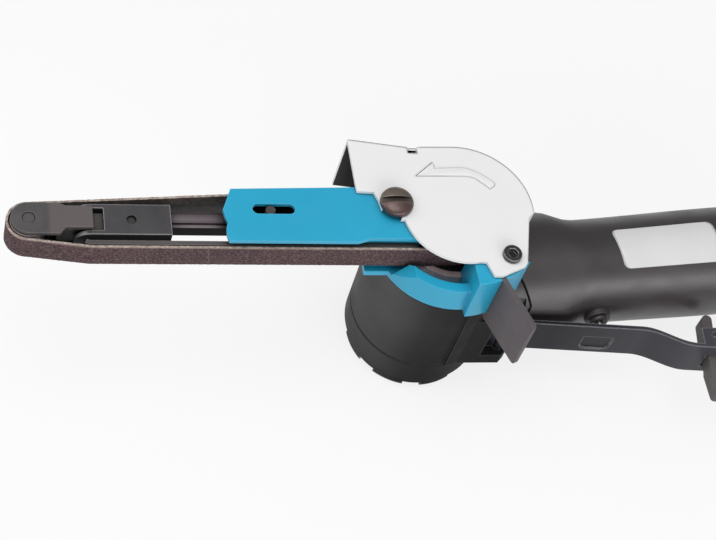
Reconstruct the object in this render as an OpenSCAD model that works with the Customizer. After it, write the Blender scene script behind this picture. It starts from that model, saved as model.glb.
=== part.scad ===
// Air-driven finger belt sander (power file), sizes in millimetres.
// The origin is on the motor axis in the face that the motor end cap stands on.
// +Z runs up the motor axis to the belt, -X along the belt arm, +X along the handle.

/* [Motor housing] */
// Outer radius of the housing at its foot
housing_foot_r = 23.5; // [22.5:0.1:25]
// Outer radius of the housing at its shoulder
housing_top_r = 24.3; // [23.5:0.1:26]
// Length of the housing between end cap and shoulder
housing_h = 51; // [49:0.5:58]
// Bevel on the housing's outer edges
housing_bevel = 0.8; // [0.3:0.1:1.5]
// Height of the seam above the housing's foot
seam_h = 12; // [9:0.1:14]
// How far the lever's pad stands out of the housing
pad_proud = 0.6; // [0.3:0.1:1]
// Radius of the motor bore
motor_bore_r = 18.5; // [17.5:0.1:20]
// Radius of the threaded neck that carries the arm
neck_r = 14; // [12.5:0.1:15]

/* [End cap] */
// Height of the castellated end cap that shows below the housing
end_cap_h = 5.5; // [4.5:0.1:8]
// Outer radius of the end cap
end_cap_r = 22.1; // [20.5:0.1:22.4]
// Number of exhaust notches round the end cap
end_cap_notches = 8; // [4:1:12]
// Angle that one notch takes up
notch_angle = 16; // [8:1:24]
// Height of a notch
notch_h = 2.2; // [1:0.1:3.5]
// Radial depth of a notch
notch_depth = 3; // [1.5:0.1:3.5]
// Length of the end cap's threaded spigot
spigot_h = 6.5; // [5:0.1:8]

/* [Air motor] */
// Radius of the rotor shaft
shaft_r = 4; // [3.5:0.1:4.5]
// Outer radius of the two ball bearings
bearing_r = 9.5; // [8.5:0.1:11]
// Width of a ball bearing
bearing_w = 6; // [5:0.1:7]
// Thickness of an end plate's web
plate_web = 1.5; // [1:0.1:2.5]
// Length of the motor cylinder
cylinder_h = 23.5; // [21:0.1:24]
// Radius of the rotor
rotor_r = 13.4; // [12.5:0.1:13.6]
// Radius of the cylinder's offset bore
cylinder_bore_r = 15; // [14.8:0.1:15.5]
// Number of vanes
vane_count = 5; // [4:1:6]
// Thickness of a vane
vane_t = 1.4; // [1:0.1:2]
// Radial depth of a vane
vane_depth = 6; // [4:0.1:7]

/* [Belt drive] */
// Width of the sanding belt
belt_w = 10; // [8:0.5:13]
// Thickness of the sanding belt
belt_t = 1; // [0.7:0.1:1.3]
// Radius of the drive wheel
wheel_r = 11; // [10.2:0.1:11.6]
// Radius of the nose pulley
idler_r = 5.55; // [5:0.05:6]
// Distance from the motor axis to the nose pulley along the arm
arm_reach = 136.4; // [125:0.1:150]
// Offset of the nose pulley towards the working side
idler_drop = 3; // [2.4:0.1:3.6]
// Thickness of the lock ring
lock_ring_t = 3.4; // [2.5:0.1:5]
// Outer radius of the lock ring
lock_ring_r = 16.1; // [15.8:0.1:18]

/* [Arm base] */
// Thickness of the arm base's floor
arm_floor_t = 2.4; // [2:0.1:4]
// How far the arm base stands out beyond the housing
arm_overhang = 0.45; // [0.2:0.05:1.5]
// Wall thickness of the cup ring
ring_wall = 3.4; // [2.5:0.1:4.5]
// Height of the cup ring above its floor
ring_h = 8.6; // [6:0.1:10]
// Length of the tongue from the motor axis
tongue_reach = 29.5; // [27.5:0.1:33]
// Half width of the tongue
tongue_half_w = 12; // [10:0.1:14]
// Radius to the outer face of the guard post
post_r = 27.4; // [26.5:0.1:29]
// Angle of the guard post's first side
post_from = -86; // [-92:1:-82]
// Angle of the guard post's second side
post_to = -44; // [-48:1:-40]

/* [Arm casing] */
// Distance from the nose pulley back to the casing's front tip
casing_back = 59.4; // [53:0.1:63]
// Distance from the motor axis to the casing's rear edge
casing_rear = 14; // [13.4:0.1:15]
// Sheet thickness of the casing
casing_t = 1.5; // [1:0.1:2]
// Half height of the cover plate above the rod at its front
cover_up = 7.7; // [7:0.1:9]
// Extra height of the cover plate at its rear
cover_rise = 1.8; // [0:0.1:2.5]
// Half height of the cover plate below the rod
cover_down = 11.4; // [10:0.1:12]
// Step in the lower edge of the cover plate
cover_step = 1.2; // [0:0.1:2]
// Room between the belt's edge and the cover plate
cover_gap = 2.2; // [1.9:0.1:4]
// Length of the tension slot
slot_l = 13.5; // [11.5:0.1:16]
// Width of the tension slot
slot_w = 3.6; // [3.2:0.1:4.5]
// Distance from the casing's front tip back to the middle of the slot
slot_back = 16.1; // [15.5:0.1:18]

/* [Platen] */
// Thickness of the platen strip
platen_t = 1.5; // [1:0.1:2]
// Distance from the nose pulley back to the platen's front bend
platen_back = 19.4; // [18.5:0.1:26]
// Distance from the motor axis to the platen's rear end
platen_rear = 15; // [14:0.1:18]
// Radius of the bend at the platen's front
nose_r = 8; // [6:0.1:10]

/* [Nose carriage] */
// Half width of the square tension bar
bar_half = 2.6; // [2.3:0.05:2.9]
// Radius of the bar's rear spigot inside the spring
rod_tail_r = 2; // [1.6:0.1:2.2]
// Travel of the carriage against its spring
tension_travel = 5.5; // [4:0.1:6]
// Half width of the yoke's round end
yoke_half_w = 5.5; // [4.5:0.1:5.6]
// Sheet thickness of the yoke and the channel
yoke_t = 1.5; // [1:0.1:2]
// Radius of the nose pulley's axle
axle_r = 2; // [1.6:0.1:2.4]
// Half width of the carriage channel
channel_half_w = 5.45; // [5:0.05:5.6]
// Length of the channel's cover
channel_l = 20.9; // [18:0.1:24]
// Distance from the nose pulley back to the channel's rear face
channel_back = 43.7; // [40:0.1:46]
// Length of the channel's cheeks ahead of its cover
cheek_l = 9; // [6:0.1:10]
// Radius of the guide pin in the slot
guide_pin_r = 1.6; // [1.2:0.1:1.6]

/* [Springs] */
// Wire diameter of the tension spring
tension_wire = 0.9; // [0.6:0.1:1]
// Pitch of the tension spring
tension_pitch = 2.6; // [1.8:0.1:3.4]
// Wire diameter of the valve spring
valve_wire = 0.6; // [0.5:0.1:0.7]
// Coils of the valve spring
valve_coils = 4; // [3:1:5]
// Wire diameter of the lock tab's spring
lock_wire = 0.7; // [0.5:0.1:0.8]
// Coils of the lock tab's spring
lock_coils = 3; // [2:1:3]

/* [Guard] */
// Sheet thickness of the guard
guard_t = 1.2; // [0.8:0.1:1.6]
// Outer radius of the guard's round side
guard_r = 23.7; // [23:0.1:25.5]
// Radius of the guard's open lower edge
guard_open_r = 20; // [19:0.1:21]
// Distance from the motor axis to the guard's front edge
guard_reach = 34.6; // [33:0.1:38]
// Height of the guard's front corner above the motor axis
guard_corner_y = 25.8; // [24.5:0.1:27]
// Depth of the guard's front flange below its plate
flange_h = 24; // [18:0.1:24.5]
// Distance from the motor axis to the latch screw along the arm
latch_x = 21.7; // [21:0.1:23]
// Offset of the latch screw across the arm
latch_y = 1.4; // [0.5:0.1:2]
// Radius of the latch screw's head
latch_head_r = 5.4; // [4.8:0.1:5.6]
// Radius of the latch screw's shank
latch_shank_r = 3; // [2.6:0.1:3.2]
// Distance of the guard's pivot screw from the motor axis
pivot_radius = 22.1; // [21.5:0.1:23]
// Angle of the guard's pivot screw round the motor axis
pivot_angle = -52.8; // [-55:0.1:-51]
// Radius of the pivot screw's shank
pivot_shank_r = 2; // [1.6:0.1:2.2]

/* [Spark shield] */
// Angle of the spark shield round the motor axis
shield_angle = -67.8; // [-70:0.1:-66]
// Distance from the motor axis to the shield's outer edge
shield_reach = 46; // [42:0.1:50]
// Height of the shield
shield_h = 24; // [20:0.1:24.5]
// Thickness of the shield
shield_t = 1.5; // [1:0.1:2.2]
// Corner radius of the shield
shield_corner = 1.5; // [0.8:0.1:3]

/* [Handle] */
// Angle of the handle round the motor axis
handle_yaw = 5.3; // [4:0.1:7]
// Height of the handle's axis above the resting face
handle_z = 31.3; // [29.5:0.1:32]
// Distance from the motor axis to the grip's rear end
handle_reach = 150; // [135:0.5:170]
// Radius of the grip's collar beside the motor
grip_front_r = 21.7; // [19:0.1:22]
// Radius of the grip's waist
grip_waist_r = 17.95; // [17:0.05:18.2]
// Radius of the grip's swell
grip_swell_r = 18.8; // [18.2:0.1:19.2]
// Distance from the motor axis to the waist
grip_waist_s = 53; // [50:0.5:58]
// Length over which the collar runs out into the waist
grip_flare_l = 15; // [10:0.5:20]
// Distance from the motor axis to the swell
grip_swell_s = 108; // [95:0.5:112]
// Radius of the handle's inner tube
tube_r = 12; // [11:0.1:13]
// Radius of the air passage at the valve
passage_r = 6.5; // [6.2:0.1:7.5]
// Radius of the wider bore between the inlet and the valve
chamber_r = 8.5; // [7.6:0.1:8.9]

/* [Air inlet] */
// Minor radius of the inlet thread
inlet_r = 5.72; // [5.2:0.01:6.6]
// Depth of the inlet thread
inlet_depth = 12; // [10:0.5:16]
// Width across flats of the inlet bushing
inlet_flats = 20; // [18:0.5:24]
// Length of the inlet bushing's hexagon
inlet_hex_l = 11; // [8:0.5:14]

/* [Throttle] */
// Width of the lever strip
lever_w = 16.6; // [15:0.1:18]
// Thickness of the lever strip
lever_t = 1.5; // [1:0.1:2]
// Distance from the motor axis to the lever's front end
lever_front = 17.7; // [17.2:0.1:19]
// Distance from the motor axis to the lever's rear end
lever_rear = 121; // [112:0.5:130]
// Distance across from the motor axis to the lever's outer face at its pin
lever_offset = 19.6; // [19.2:0.1:20.4]
// Slope of the lever away from the handle
lever_slope = 3.8; // [3:0.1:4.5]
// Width of the pressed pocket in the lever
dimple_w = 10.4; // [8:0.1:12]
// Sideways jog of the lever behind the valve
lever_jog = 5.2; // [4:0.1:6]
// Radius of the lever's pin
pin_r = 1.5; // [1.2:0.1:1.6]
// Distance from the motor axis to the lever's pin along X
lever_pin_x = 23.5; // [23:0.1:25]
// Distance along the handle to the valve
valve_s = 56.5; // [54:0.1:60]
// Radius of the valve stem
stem_r = 1.4; // [1.1:0.1:1.6]
// Travel of the valve stem
valve_travel = 3.2; // [2.6:0.1:3.4]

/* [Lock tab] */
// Distance from the motor axis to the lock tab's pin along X
lock_x = 96; // [93:0.1:100]
// Width of the lock tab
lock_w = 7; // [5:0.1:7.5]
// Lean of the lock tab's stop leg away from the handle's normal
lock_lean = 10; // [7:1:14]
// Length of the stop leg to the middle of its round end
lock_leg_l = 9.8; // [8.5:0.1:10]
// Length of the finger pad below the pin
lock_pad_l = 18.5; // [15:0.1:22]

/* [Hidden] */
$fn = 48;

// Clearances
slip = 0.1;
pin_fit = 0.05;
seat_fit = 0.02;
gap = 0.3;
far = 60;

// Colours
blue = "#42a3c8";
cast_dark = "#3b3a3b";
grip_brown = "#565050";
steel = "#b9b9bb";
steel_dark = "#5a5654";
sheet_silver = "#e6e6e6";
belt_brown = "#5b4a48";
lever_grey = "#47464c";
brass = "#b08d4a";

// Heights of the stack on the motor axis
housing_z0 = end_cap_h;
housing_z1 = housing_z0 + housing_h;
spigot_z1 = end_cap_h + spigot_h;
rear_plate_h = bearing_w + plate_web;
cylinder_z0 = spigot_z1 + rear_plate_h;
cylinder_z1 = cylinder_z0 + cylinder_h;
front_plate_h = bearing_w + plate_web;
motor_roof_z = cylinder_z1 + front_plate_h + slip;
arm_z0 = housing_z1 + slip;
arm_floor_z = arm_z0 + arm_floor_t;
lock_z0 = arm_floor_z + slip;
lock_z1 = lock_z0 + lock_ring_t;
neck_z1 = lock_z1 - slip;
belt_z0 = lock_z1 + 0.5;
belt_z1 = belt_z0 + belt_w;
belt_mid_z = belt_z0 + belt_w / 2;
cover_z0 = belt_z1 + cover_gap;
cover_z1 = cover_z0 + casing_t;
guard_z0 = cover_z1 + gap;
guard_z1 = guard_z0 + guard_t;
ring_z1 = arm_floor_z + ring_h;

// Belt loop: wheel, platen nose and nose pulley, measured at the belt's back
loop_wheel_r = wheel_r + gap;
loop_idler_r = idler_r + gap;
wheel_c = [0, 0];
platen_reach = arm_reach - platen_back;
casing_reach = arm_reach - casing_back;
slot_reach = casing_reach - slot_back;
nose_c = [-platen_reach, nose_r - loop_wheel_r];
idler_c = [-arm_reach, -idler_drop];
run_low = tangent_normal(wheel_c, loop_wheel_r, nose_c, nose_r);
run_nose = tangent_normal(nose_c, nose_r, idler_c, loop_idler_r);
run_up = tangent_normal(idler_c, loop_idler_r, wheel_c, loop_wheel_r);
arc_steps = 20;

// Platen and casing inside the belt loop
platen_gap = 0.1;
platen_face_y = platen_gap - loop_wheel_r;
platen_back_y = platen_face_y + platen_t;
platen_z0 = belt_z0 + gap;
rod_y = -0.5;
ledge_w = bar_half / 2;
ledge_drop = 0.7;
wall_front = 3.5;
wall_clear = 0.6;
wall_low_y = platen_back_y;
wall_up_y = upper_run_y(wall_front - casing_reach) - wall_clear;
wall_z0 = belt_z0 + gap;
block_low_y = wall_low_y + casing_t + slip;
block_up_y = wall_up_y - casing_t - slip;
bush_l = 5;

// Nose carriage
yoke_z0 = belt_z1 + gap;
yoke_z1 = yoke_z0 + yoke_t;
yoke_far_z0 = belt_z0 - gap - yoke_t;
channel_y = -2.35;
channel_rear = arm_reach - channel_back;
channel_front = channel_rear + channel_l;
channel_z1 = belt_z1 + gap;
channel_z0 = belt_z0 + gap;
yoke_l = 19.4;
tongue_end = arm_reach - yoke_l;
yoke_bar_half = 3;
web_x = arm_reach - idler_r - 3.2;
web_l = 2.5;
yoke_shoulder = web_x - web_l;
guide_x = slot_reach + 0.9;
rod_end = guide_x - 5;
tail_hold = 3;
rod_tail_end = tongue_reach - tail_hold;
spring_l = rod_end - tongue_reach;
tension_coil_r = rod_tail_r + gap + tension_wire / 2 + 0.15;

// Guard
latch = [-latch_x, latch_y];
pivot = pivot_radius * [cos(pivot_angle), sin(pivot_angle)];
latch_thread_z0 = belt_mid_z + rod_tail_r + 1;
latch_swing_r = norm(latch - pivot);
latch_swing_a = atan2(latch[1] - pivot[1], latch[0] - pivot[0]);
hook_r = latch_shank_r + gap;
hook_sweep = 34;
guard_from = -3;
guard_top_y = guard_r - 0.3;
flange_rear = 15.2;
skirt_front = 11.9;
flange_rear_y = 23.2;
notch_y = 21;
skirt_z0 = ring_z1 + gap;
flange_z0 = guard_z1 - flange_h - 0.7;
post_inner_r = loop_wheel_r + belt_t + 2.2;
post_z1 = cover_z1;
shield_z1 = cover_z1;
shield_root_r = post_r - 6;

// Handle and throttle
grip_front_s = housing_top_r - 8;
grip_round = 5;
grip_steps = 10;
seam = 0.25;
barrel_r = max(housing_top_r, housing_foot_r);
lever_z0 = handle_z - lever_w / 2;
lever_z1 = handle_z + lever_w / 2;
lever_pin = [lever_pin_x, 1 - lever_offset];
knuckle_r = pin_r + 0.8;
jog_from = 70;
jog_l = 19;
lever_steps = 12;
ear_gap = 0.4;
bracket_t = 5;
bracket_x0 = 6;
bracket_x1 = lever_pin_x + 3;
bracket_y = 3.2 + lever_offset;
bracket_block_x1 = lever_front - 0.7;
stem_tip_d = lever_inner_d() - 0.4;
bush_flange_r = 4.5;
bush_spigot_r = 3.6;
bush_nose_d = lever_inner_d() - valve_travel - 1.9;
bush_out_d = bush_nose_d - 1.3;
bush_in_d = passage_r + 1.2;
seal_t = 1.4;
valve_head_d = bush_in_d - 0.2 - seal_t;
valve_head_t = 2.6;
valve_head_r = bush_spigot_r - gap;
valve_coil_r = 2.4;
valve_seat_d = 0.5 - sqrt(passage_r * passage_r - pow(valve_coil_r + valve_wire, 2));
inlet_seat_s = handle_reach - inlet_depth;
inlet_spigot_r = 0.5 + chamber_r;
chamber_s = valve_s + 14;
inlet_end_s = handle_reach + inlet_hex_l;

// Lock tab
lock_y = lever_y(lock_x) + lever_t + 3.2;
lock_z0_tab = lever_z0 + 3.6;
lock_ear_h = lock_y - lever_y(lock_x) + 2.6;
lock_leg_r = 1.8;
lock_pad_from = 9;
lock_coil_r = pin_r + 0.6 + lock_wire / 2;
lock_ear_l = 10;
dimple_depth = 0.7;

function unit(v) = v / norm(v);
function left_of(v) = [-v[1], v[0]];
function angle_of(v) = atan2(v[1], v[0]);
function tangent_normal(c1, r1, c2, r2) =
    let (d = c2 - c1, u = unit(d), k = (r1 - r2) / norm(d))
    u * k + left_of(u) * sqrt(1 - k * k);
function arc(c, r, a0, a1, steps) =
    [for (i = [0:steps]) let (a = a0 + (a1 - a0) * i / steps) c + r * [cos(a), sin(a)]];
function clockwise_to(a0, a1) = a1 <= a0 ? a1 : a1 - 360;
function turned(points) = [for (i = [len(points) - 1:-1:0]) points[i]];
function smooth(t) = let (u = min(1, max(0, t))) (1 - cos(180 * u)) / 2;

// Outline of the belt loop, its back moved out by "out"
function loop_arc(c, r, n_in, n_out) =
    let (a0 = angle_of(n_in)) arc(c, r, a0, clockwise_to(a0, angle_of(n_out)), arc_steps);
function loop_outline(out) = concat(
    loop_arc(wheel_c, loop_wheel_r + out, run_up, run_low),
    loop_arc(nose_c, nose_r + out, run_low, run_nose),
    loop_arc(idler_c, loop_idler_r + out, run_nose, run_up));
// Height of the upper run's back at x
function upper_run_y(x) = (loop_wheel_r - run_up[0] * x) / run_up[1];

// Outer face of the throttle lever at x
function lever_y(x) =
    -lever_offset - tan(lever_slope) * (x - lever_pin_x) - lever_jog * smooth((x - jog_from) / jog_l);
// Distance from the handle's axis to the lever's inner face at the valve
function lever_inner_d() =
    let (foot = valve_s * [cos(handle_yaw), sin(handle_yaw)],
         out = [sin(handle_yaw), -cos(handle_yaw)],
         slope = tan(lever_slope),
         y0 = lever_y(lever_pin_x) + lever_t + slope * lever_pin_x)
    (foot[1] - y0 + slope * foot[0]) / (-out[1] - slope * out[0]);
function grip_radius(s) =
    s < grip_waist_s
    ? grip_waist_r + (grip_front_r - grip_waist_r) * smooth((grip_waist_s - s) / grip_flare_l)
    : grip_waist_r
        + (grip_swell_r - grip_waist_r) * smooth((s - grip_waist_s) / (grip_swell_s - grip_waist_s));

// Points of a wire wound on a helix
wire_sides = 6;
rings_per_coil = 8;
function wire_ring(r, pitch, a, wire_r) =
    let (c = [r * cos(a), r * sin(a), pitch * a / 360],
         t = unit([-sin(a), cos(a), pitch / (2 * PI * r)]),
         n = [cos(a), sin(a), 0],
         b = cross(t, n))
    [for (k = [0:wire_sides - 1]) let (w = k * 360 / wire_sides) c + wire_r * (n * cos(w) + b * sin(w))];
function ring_gap(p, q) = min([for (u = p) for (v = q) norm(u - v)]);

module coil(r, pitch, turns, wire, name) {
    rings = round(turns * rings_per_coil);
    list = [for (i = [0:rings]) wire_ring(r, pitch, i * 360 / rings_per_coil, wire / 2)];
    points = [for (ring = list) each ring];
    sides = [
        for (i = [0:rings - 1]) for (k = [0:wire_sides - 1])
            let (a = i * wire_sides + k,
                 b = i * wire_sides + (k + 1) % wire_sides)
            each [[a, b, b + wire_sides], [a, b + wire_sides, a + wire_sides]]
    ];
    last = rings * wire_sides;
    caps = [for (k = [1:wire_sides - 2]) each [[0, k + 1, k], [last, last + k, last + k + 1]]];
    echo(name, least_gap = ring_gap(list[0], list[rings_per_coil]));
    polyhedron(points, concat(sides, caps), convexity = 10);
}

module along_handle(s) {
    rotate([0, 0, handle_yaw]) translate([s, 0, handle_z]) rotate([0, 90, 0]) children();
}

module at_valve(d) {
    rotate([0, 0, handle_yaw]) translate([valve_s, -d, handle_z]) rotate([90, 0, 0]) children();
}

module along_arm(reach, y, z) {
    translate([-reach, y, z]) rotate([0, 90, 0]) children();
}

module slab(points, z0, z1) {
    translate([0, 0, z0]) linear_extrude(z1 - z0) polygon(points);
}

module rod(r, z0, z1) {
    translate([0, 0, z0]) cylinder(r = r, h = z1 - z0);
}

module bracket_plan() {
    polygon([
        [bracket_x0, -bracket_y], [bracket_x1 - 2, -bracket_y], [bracket_x1, 2 - bracket_y],
        [bracket_x1, lever_pin[1] + knuckle_r], [lever_pin_x - 3, lever_pin[1] + knuckle_r + 2],
        [motor_bore_r / 2, -motor_bore_r / 2], [bracket_x0, -motor_bore_r / 2]
    ]);
}

// Dark cast barrel with neck, handle tube and lever bracket
module motor_housing() {
    color(cast_dark) difference() {
        union() {
            rotate_extrude() polygon([
                [motor_bore_r - 6, housing_z0],
                [housing_foot_r - housing_bevel, housing_z0],
                [housing_foot_r, housing_z0 + housing_bevel],
                [housing_top_r, housing_z1 - housing_bevel],
                [housing_top_r - housing_bevel, housing_z1],
                [neck_r, housing_z1],
                [neck_r, neck_z1],
                [shaft_r + gap, neck_z1],
                [shaft_r + gap, motor_roof_z],
                [motor_bore_r - 6, motor_roof_z]
            ]);
            along_handle(motor_bore_r - 2) cylinder(r = tube_r, h = handle_reach - motor_bore_r);
            bracket();
            lever_pad();
        }
        seam_groove();
        rod(motor_bore_r, housing_z0 - 1, motor_roof_z);
        along_handle(valve_s - 12) cylinder(r = passage_r, h = handle_reach);
        along_handle(chamber_s) cylinder(r = chamber_r, h = handle_reach);
        along_handle(motor_bore_r - 4) cylinder(r = passage_r / 2, h = valve_s);
        along_handle(inlet_seat_s) cylinder(r = inlet_spigot_r + seat_fit, h = far);
        at_valve(0) cylinder(r = bush_spigot_r + seat_fit, h = far);
        translate([lever_pin[0], lever_pin[1], 0]) cylinder(r = pin_r + seat_fit, h = far);
    }
}

// Pad on the barrel from the seam up to the arm, beside the lever's bracket
module lever_pad() {
    outer = housing_top_r + pad_proud;
    slab(
        concat(arc([0, 0], outer, -77, -36, 10), turned(arc([0, 0], motor_bore_r - 1, -77, -36, 10))),
        housing_z0 + seam_h, housing_z1 - housing_bevel);
}

module seam_groove() {
    z = housing_z0 + seam_h;
    rotate_extrude() translate([housing_foot_r - 0.4, z - 0.6]) square([far, 0.6]);
}

// Two ears for the lever's pin and the block that joins them
module bracket() {
    low = lever_z0 - ear_gap;
    high = lever_z1 + ear_gap;
    translate([0, 0, low - bracket_t]) linear_extrude(bracket_t) bracket_plan();
    translate([0, 0, high]) linear_extrude(bracket_t) bracket_plan();
    translate([0, 0, low - bracket_t]) linear_extrude(high - low + 2 * bracket_t) intersection() {
        bracket_plan();
        translate([0, -far]) square([bracket_block_x1, far]);
    }
}

// Castellated cap that closes the motor bore
module end_cap() {
    color(cast_dark) difference() {
        union() {
            rotate_extrude() polygon([
                [0, 0], [end_cap_r - 0.6, 0], [end_cap_r, 0.6], [end_cap_r, end_cap_h], [0, end_cap_h]
            ]);
            rod(motor_bore_r - slip, end_cap_h - 1, spigot_z1);
        }
        for (i = [0:end_cap_notches - 1])
            rotate([0, 0, 175 + i * 360 / end_cap_notches])
                translate([end_cap_r - notch_depth, -end_cap_r * sin(notch_angle / 2), -1])
                    cube([notch_depth + 2, 2 * end_cap_r * sin(notch_angle / 2), notch_h + 1]);
        rod(shaft_r + 2, spigot_z1 - 3, spigot_z1 + 1);
    }
}

// Moulded sleeve on the handle tube
module handle_grip() {
    front_l = grip_waist_s - grip_front_s;
    rear_l = handle_reach - grip_round - grip_waist_s;
    profile = concat(
        [[tube_r + seat_fit, grip_front_s]],
        [for (i = [0:grip_steps]) let (s = grip_front_s + front_l * i / grip_steps) [grip_radius(s), s]],
        [for (i = [1:grip_steps]) let (s = grip_waist_s + rear_l * i / grip_steps) [grip_radius(s), s]],
        [for (i = [1:6]) let (a = 15 * i)
            [
                grip_swell_r - grip_round + grip_round * cos(a),
                handle_reach - grip_round + grip_round * sin(a)
            ]],
        [[tube_r + seat_fit, handle_reach]]);
    color(grip_brown) difference() {
        along_handle(0) rotate_extrude() polygon(profile);
        rod(barrel_r + seam, -far, 2 * far);
        translate([0, -far - motor_bore_r + 4.6, 0]) cube([bracket_x1 + 2, far, 2 * far]);
        translate([0, -far - lever_offset + 4, 0]) cube([grip_waist_s, far, 2 * far]);
        at_valve(tube_r - 3) cylinder(r = bush_flange_r + seat_fit, h = far);
    }
}

module bearing_ring(z0) {
    color(steel) difference() {
        rod(bearing_r, z0, z0 + bearing_w);
        rod(shaft_r + seat_fit, z0 - 1, z0 + bearing_w + 1);
        rotate_extrude() translate([(bearing_r + shaft_r) / 2, z0]) square([2, 1], center = true);
        rotate_extrude() translate([(bearing_r + shaft_r) / 2, z0 + bearing_w]) square([2, 1], center = true);
    }
}

// End plate with a bearing pocket, opening up or down
module bearing_plate(z0, h, pocket_z0) {
    color(steel_dark) difference() {
        rod(motor_bore_r - slip, z0, z0 + h);
        rod(bearing_r + seat_fit, pocket_z0, pocket_z0 + bearing_w);
        rod(shaft_r + gap, z0 - 1, z0 + h + 1);
    }
}

module rear_end_plate() { bearing_plate(spigot_z1, rear_plate_h, spigot_z1); }
module front_end_plate() { bearing_plate(cylinder_z1, front_plate_h, cylinder_z1 + plate_web); }
module rear_bearing() { bearing_ring(spigot_z1); }
module front_bearing() { bearing_ring(cylinder_z1 + plate_web); }

// Liner whose bore is offset so that the vanes pump
module motor_cylinder() {
    offset_x = cylinder_bore_r - rotor_r - 0.2;
    port_from = cylinder_bore_r - offset_x - 3;
    color(steel) difference() {
        rod(motor_bore_r - slip, cylinder_z0, cylinder_z1);
        translate([offset_x, 0, 0]) rod(cylinder_bore_r, cylinder_z0 - 1, cylinder_z1 + 1);
        along_handle(port_from) cylinder(r = passage_r / 2, h = far);
        for (a = [140:20:220])
            rotate([0, 0, a]) translate([port_from, 0, (cylinder_z0 + cylinder_z1) / 2]) rotate([0, 90, 0])
                cylinder(r = 1.5, h = far);
    }
}

// Spanner ring that holds the arm on the neck
module lock_ring() {
    color(steel_dark) difference() {
        rod(lock_ring_r, lock_z0, lock_z1);
        rod(neck_r + seat_fit, lock_z0 - 1, lock_z1 + 1);
        for (a = [45:90:315])
            rotate([0, 0, a]) translate([lock_ring_r - 0.9, -1.5, lock_z1 - 1.6]) cube([3, 3, 3]);
    }
}

module lever_pivot_pin() {
    color(steel)
        translate([lever_pin[0], lever_pin[1], 0])
            rod(pin_r, lever_z0 - ear_gap - bracket_t, lever_z1 + ear_gap + bracket_t);
}

// Screwed-in guide of the valve stem
module valve_bushing() {
    color(cast_dark) difference() {
        union() {
            at_valve(bush_in_d) cylinder(r = bush_spigot_r, h = tube_r - bush_in_d + 1);
            at_valve(tube_r) cylinder(r = bush_flange_r, h = bush_out_d - tube_r);
            at_valve(bush_out_d - 1) cylinder(r = bush_flange_r - 1.3, h = bush_nose_d - bush_out_d + 1);
        }
        at_valve(0) cylinder(r = stem_r + pin_fit, h = far);
        along_handle(valve_s - 12) cylinder(r = passage_r, h = 24);
        difference() {
            at_valve(0) cylinder(r = far / 4, h = tube_r + seat_fit);
            at_valve(0) cylinder(r = bush_spigot_r, h = far);
        }
    }
}

module valve_spring() {
    l = valve_head_d - valve_head_t - valve_seat_d - 2 * slip - valve_wire;
    color(steel)
        at_valve(valve_seat_d + slip + valve_wire / 2)
            coil(valve_coil_r, l / valve_coils, valve_coils, valve_wire, "valve_spring");
}

// Hexagon fitting with the female air thread
module inlet_bushing() {
    color(steel) difference() {
        union() {
            along_handle(inlet_seat_s) cylinder(r = inlet_spigot_r, h = handle_reach - inlet_seat_s + 1);
            along_handle(handle_reach) rotate([0, 0, 30])
                cylinder(r = inlet_flats / sqrt(3), h = inlet_hex_l, $fn = 6);
        }
        along_handle(inlet_end_s - inlet_depth) cylinder(r = inlet_r, h = far);
        along_handle(inlet_seat_s - 1) cylinder(r = inlet_r - 1.7, h = far);
    }
}

// Perforated disc in front of the inlet fitting
module inlet_screen() {
    color(steel) difference() {
        along_handle(inlet_seat_s - 1) cylinder(r = chamber_r - seat_fit, h = 1 - seat_fit);
        for (a = [0:60:300])
            along_handle(inlet_seat_s - 2) rotate([0, 0, a]) translate([inlet_r - 2, 0, 0])
                cylinder(r = 0.9, h = 3);
    }
}

// Shaft and slotted rotor
module rotor_shaft() {
    color(steel) difference() {
        union() {
            rod(shaft_r, spigot_z1 - 2, belt_z1 + 2.6);
            rod(rotor_r, cylinder_z0 + 0.2, cylinder_z1 - 0.2);
        }
        for (i = [0:vane_count - 1])
            rotate([0, 0, i * 360 / vane_count])
                translate([rotor_r - vane_depth - slip, -vane_t / 2 - pin_fit, cylinder_z0])
                    cube([vane_depth + 1, vane_t + 2 * pin_fit, cylinder_h]);
    }
}

module rotor_vanes() {
    color("#8a6a3a")
        for (i = [0:vane_count - 1])
            rotate([0, 0, i * 360 / vane_count])
                translate([rotor_r - vane_depth, -vane_t / 2, cylinder_z0 + gap])
                    cube([vane_depth, vane_t, cylinder_h - 2 * gap]);
}

// Crowned wheel that drives the belt
module drive_wheel() {
    crown = 0.25;
    color(steel_dark) rotate_extrude() polygon([
        [shaft_r + seat_fit, belt_z0 - 0.1],
        [wheel_r - crown, belt_z0 - 0.1],
        [wheel_r, belt_mid_z - belt_w / 6],
        [wheel_r, belt_mid_z + belt_w / 6],
        [wheel_r - crown, belt_z1],
        [wheel_r - 2.5, belt_z1],
        [wheel_r - 3, belt_z1 - 1.2],
        [shaft_r + 2.2, belt_z1 - 1.2],
        [shaft_r + 2, belt_z1],
        [shaft_r + seat_fit, belt_z1]
    ]);
}

module wheel_nut() {
    color(steel) difference() {
        rod_nut_h = 2.2;
        translate([0, 0, belt_z1]) cylinder(r = shaft_r + 1.9, h = rod_nut_h, $fn = 6);
        rod(shaft_r + seat_fit, belt_z1 - 1, belt_z1 + 4);
    }
}

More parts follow.
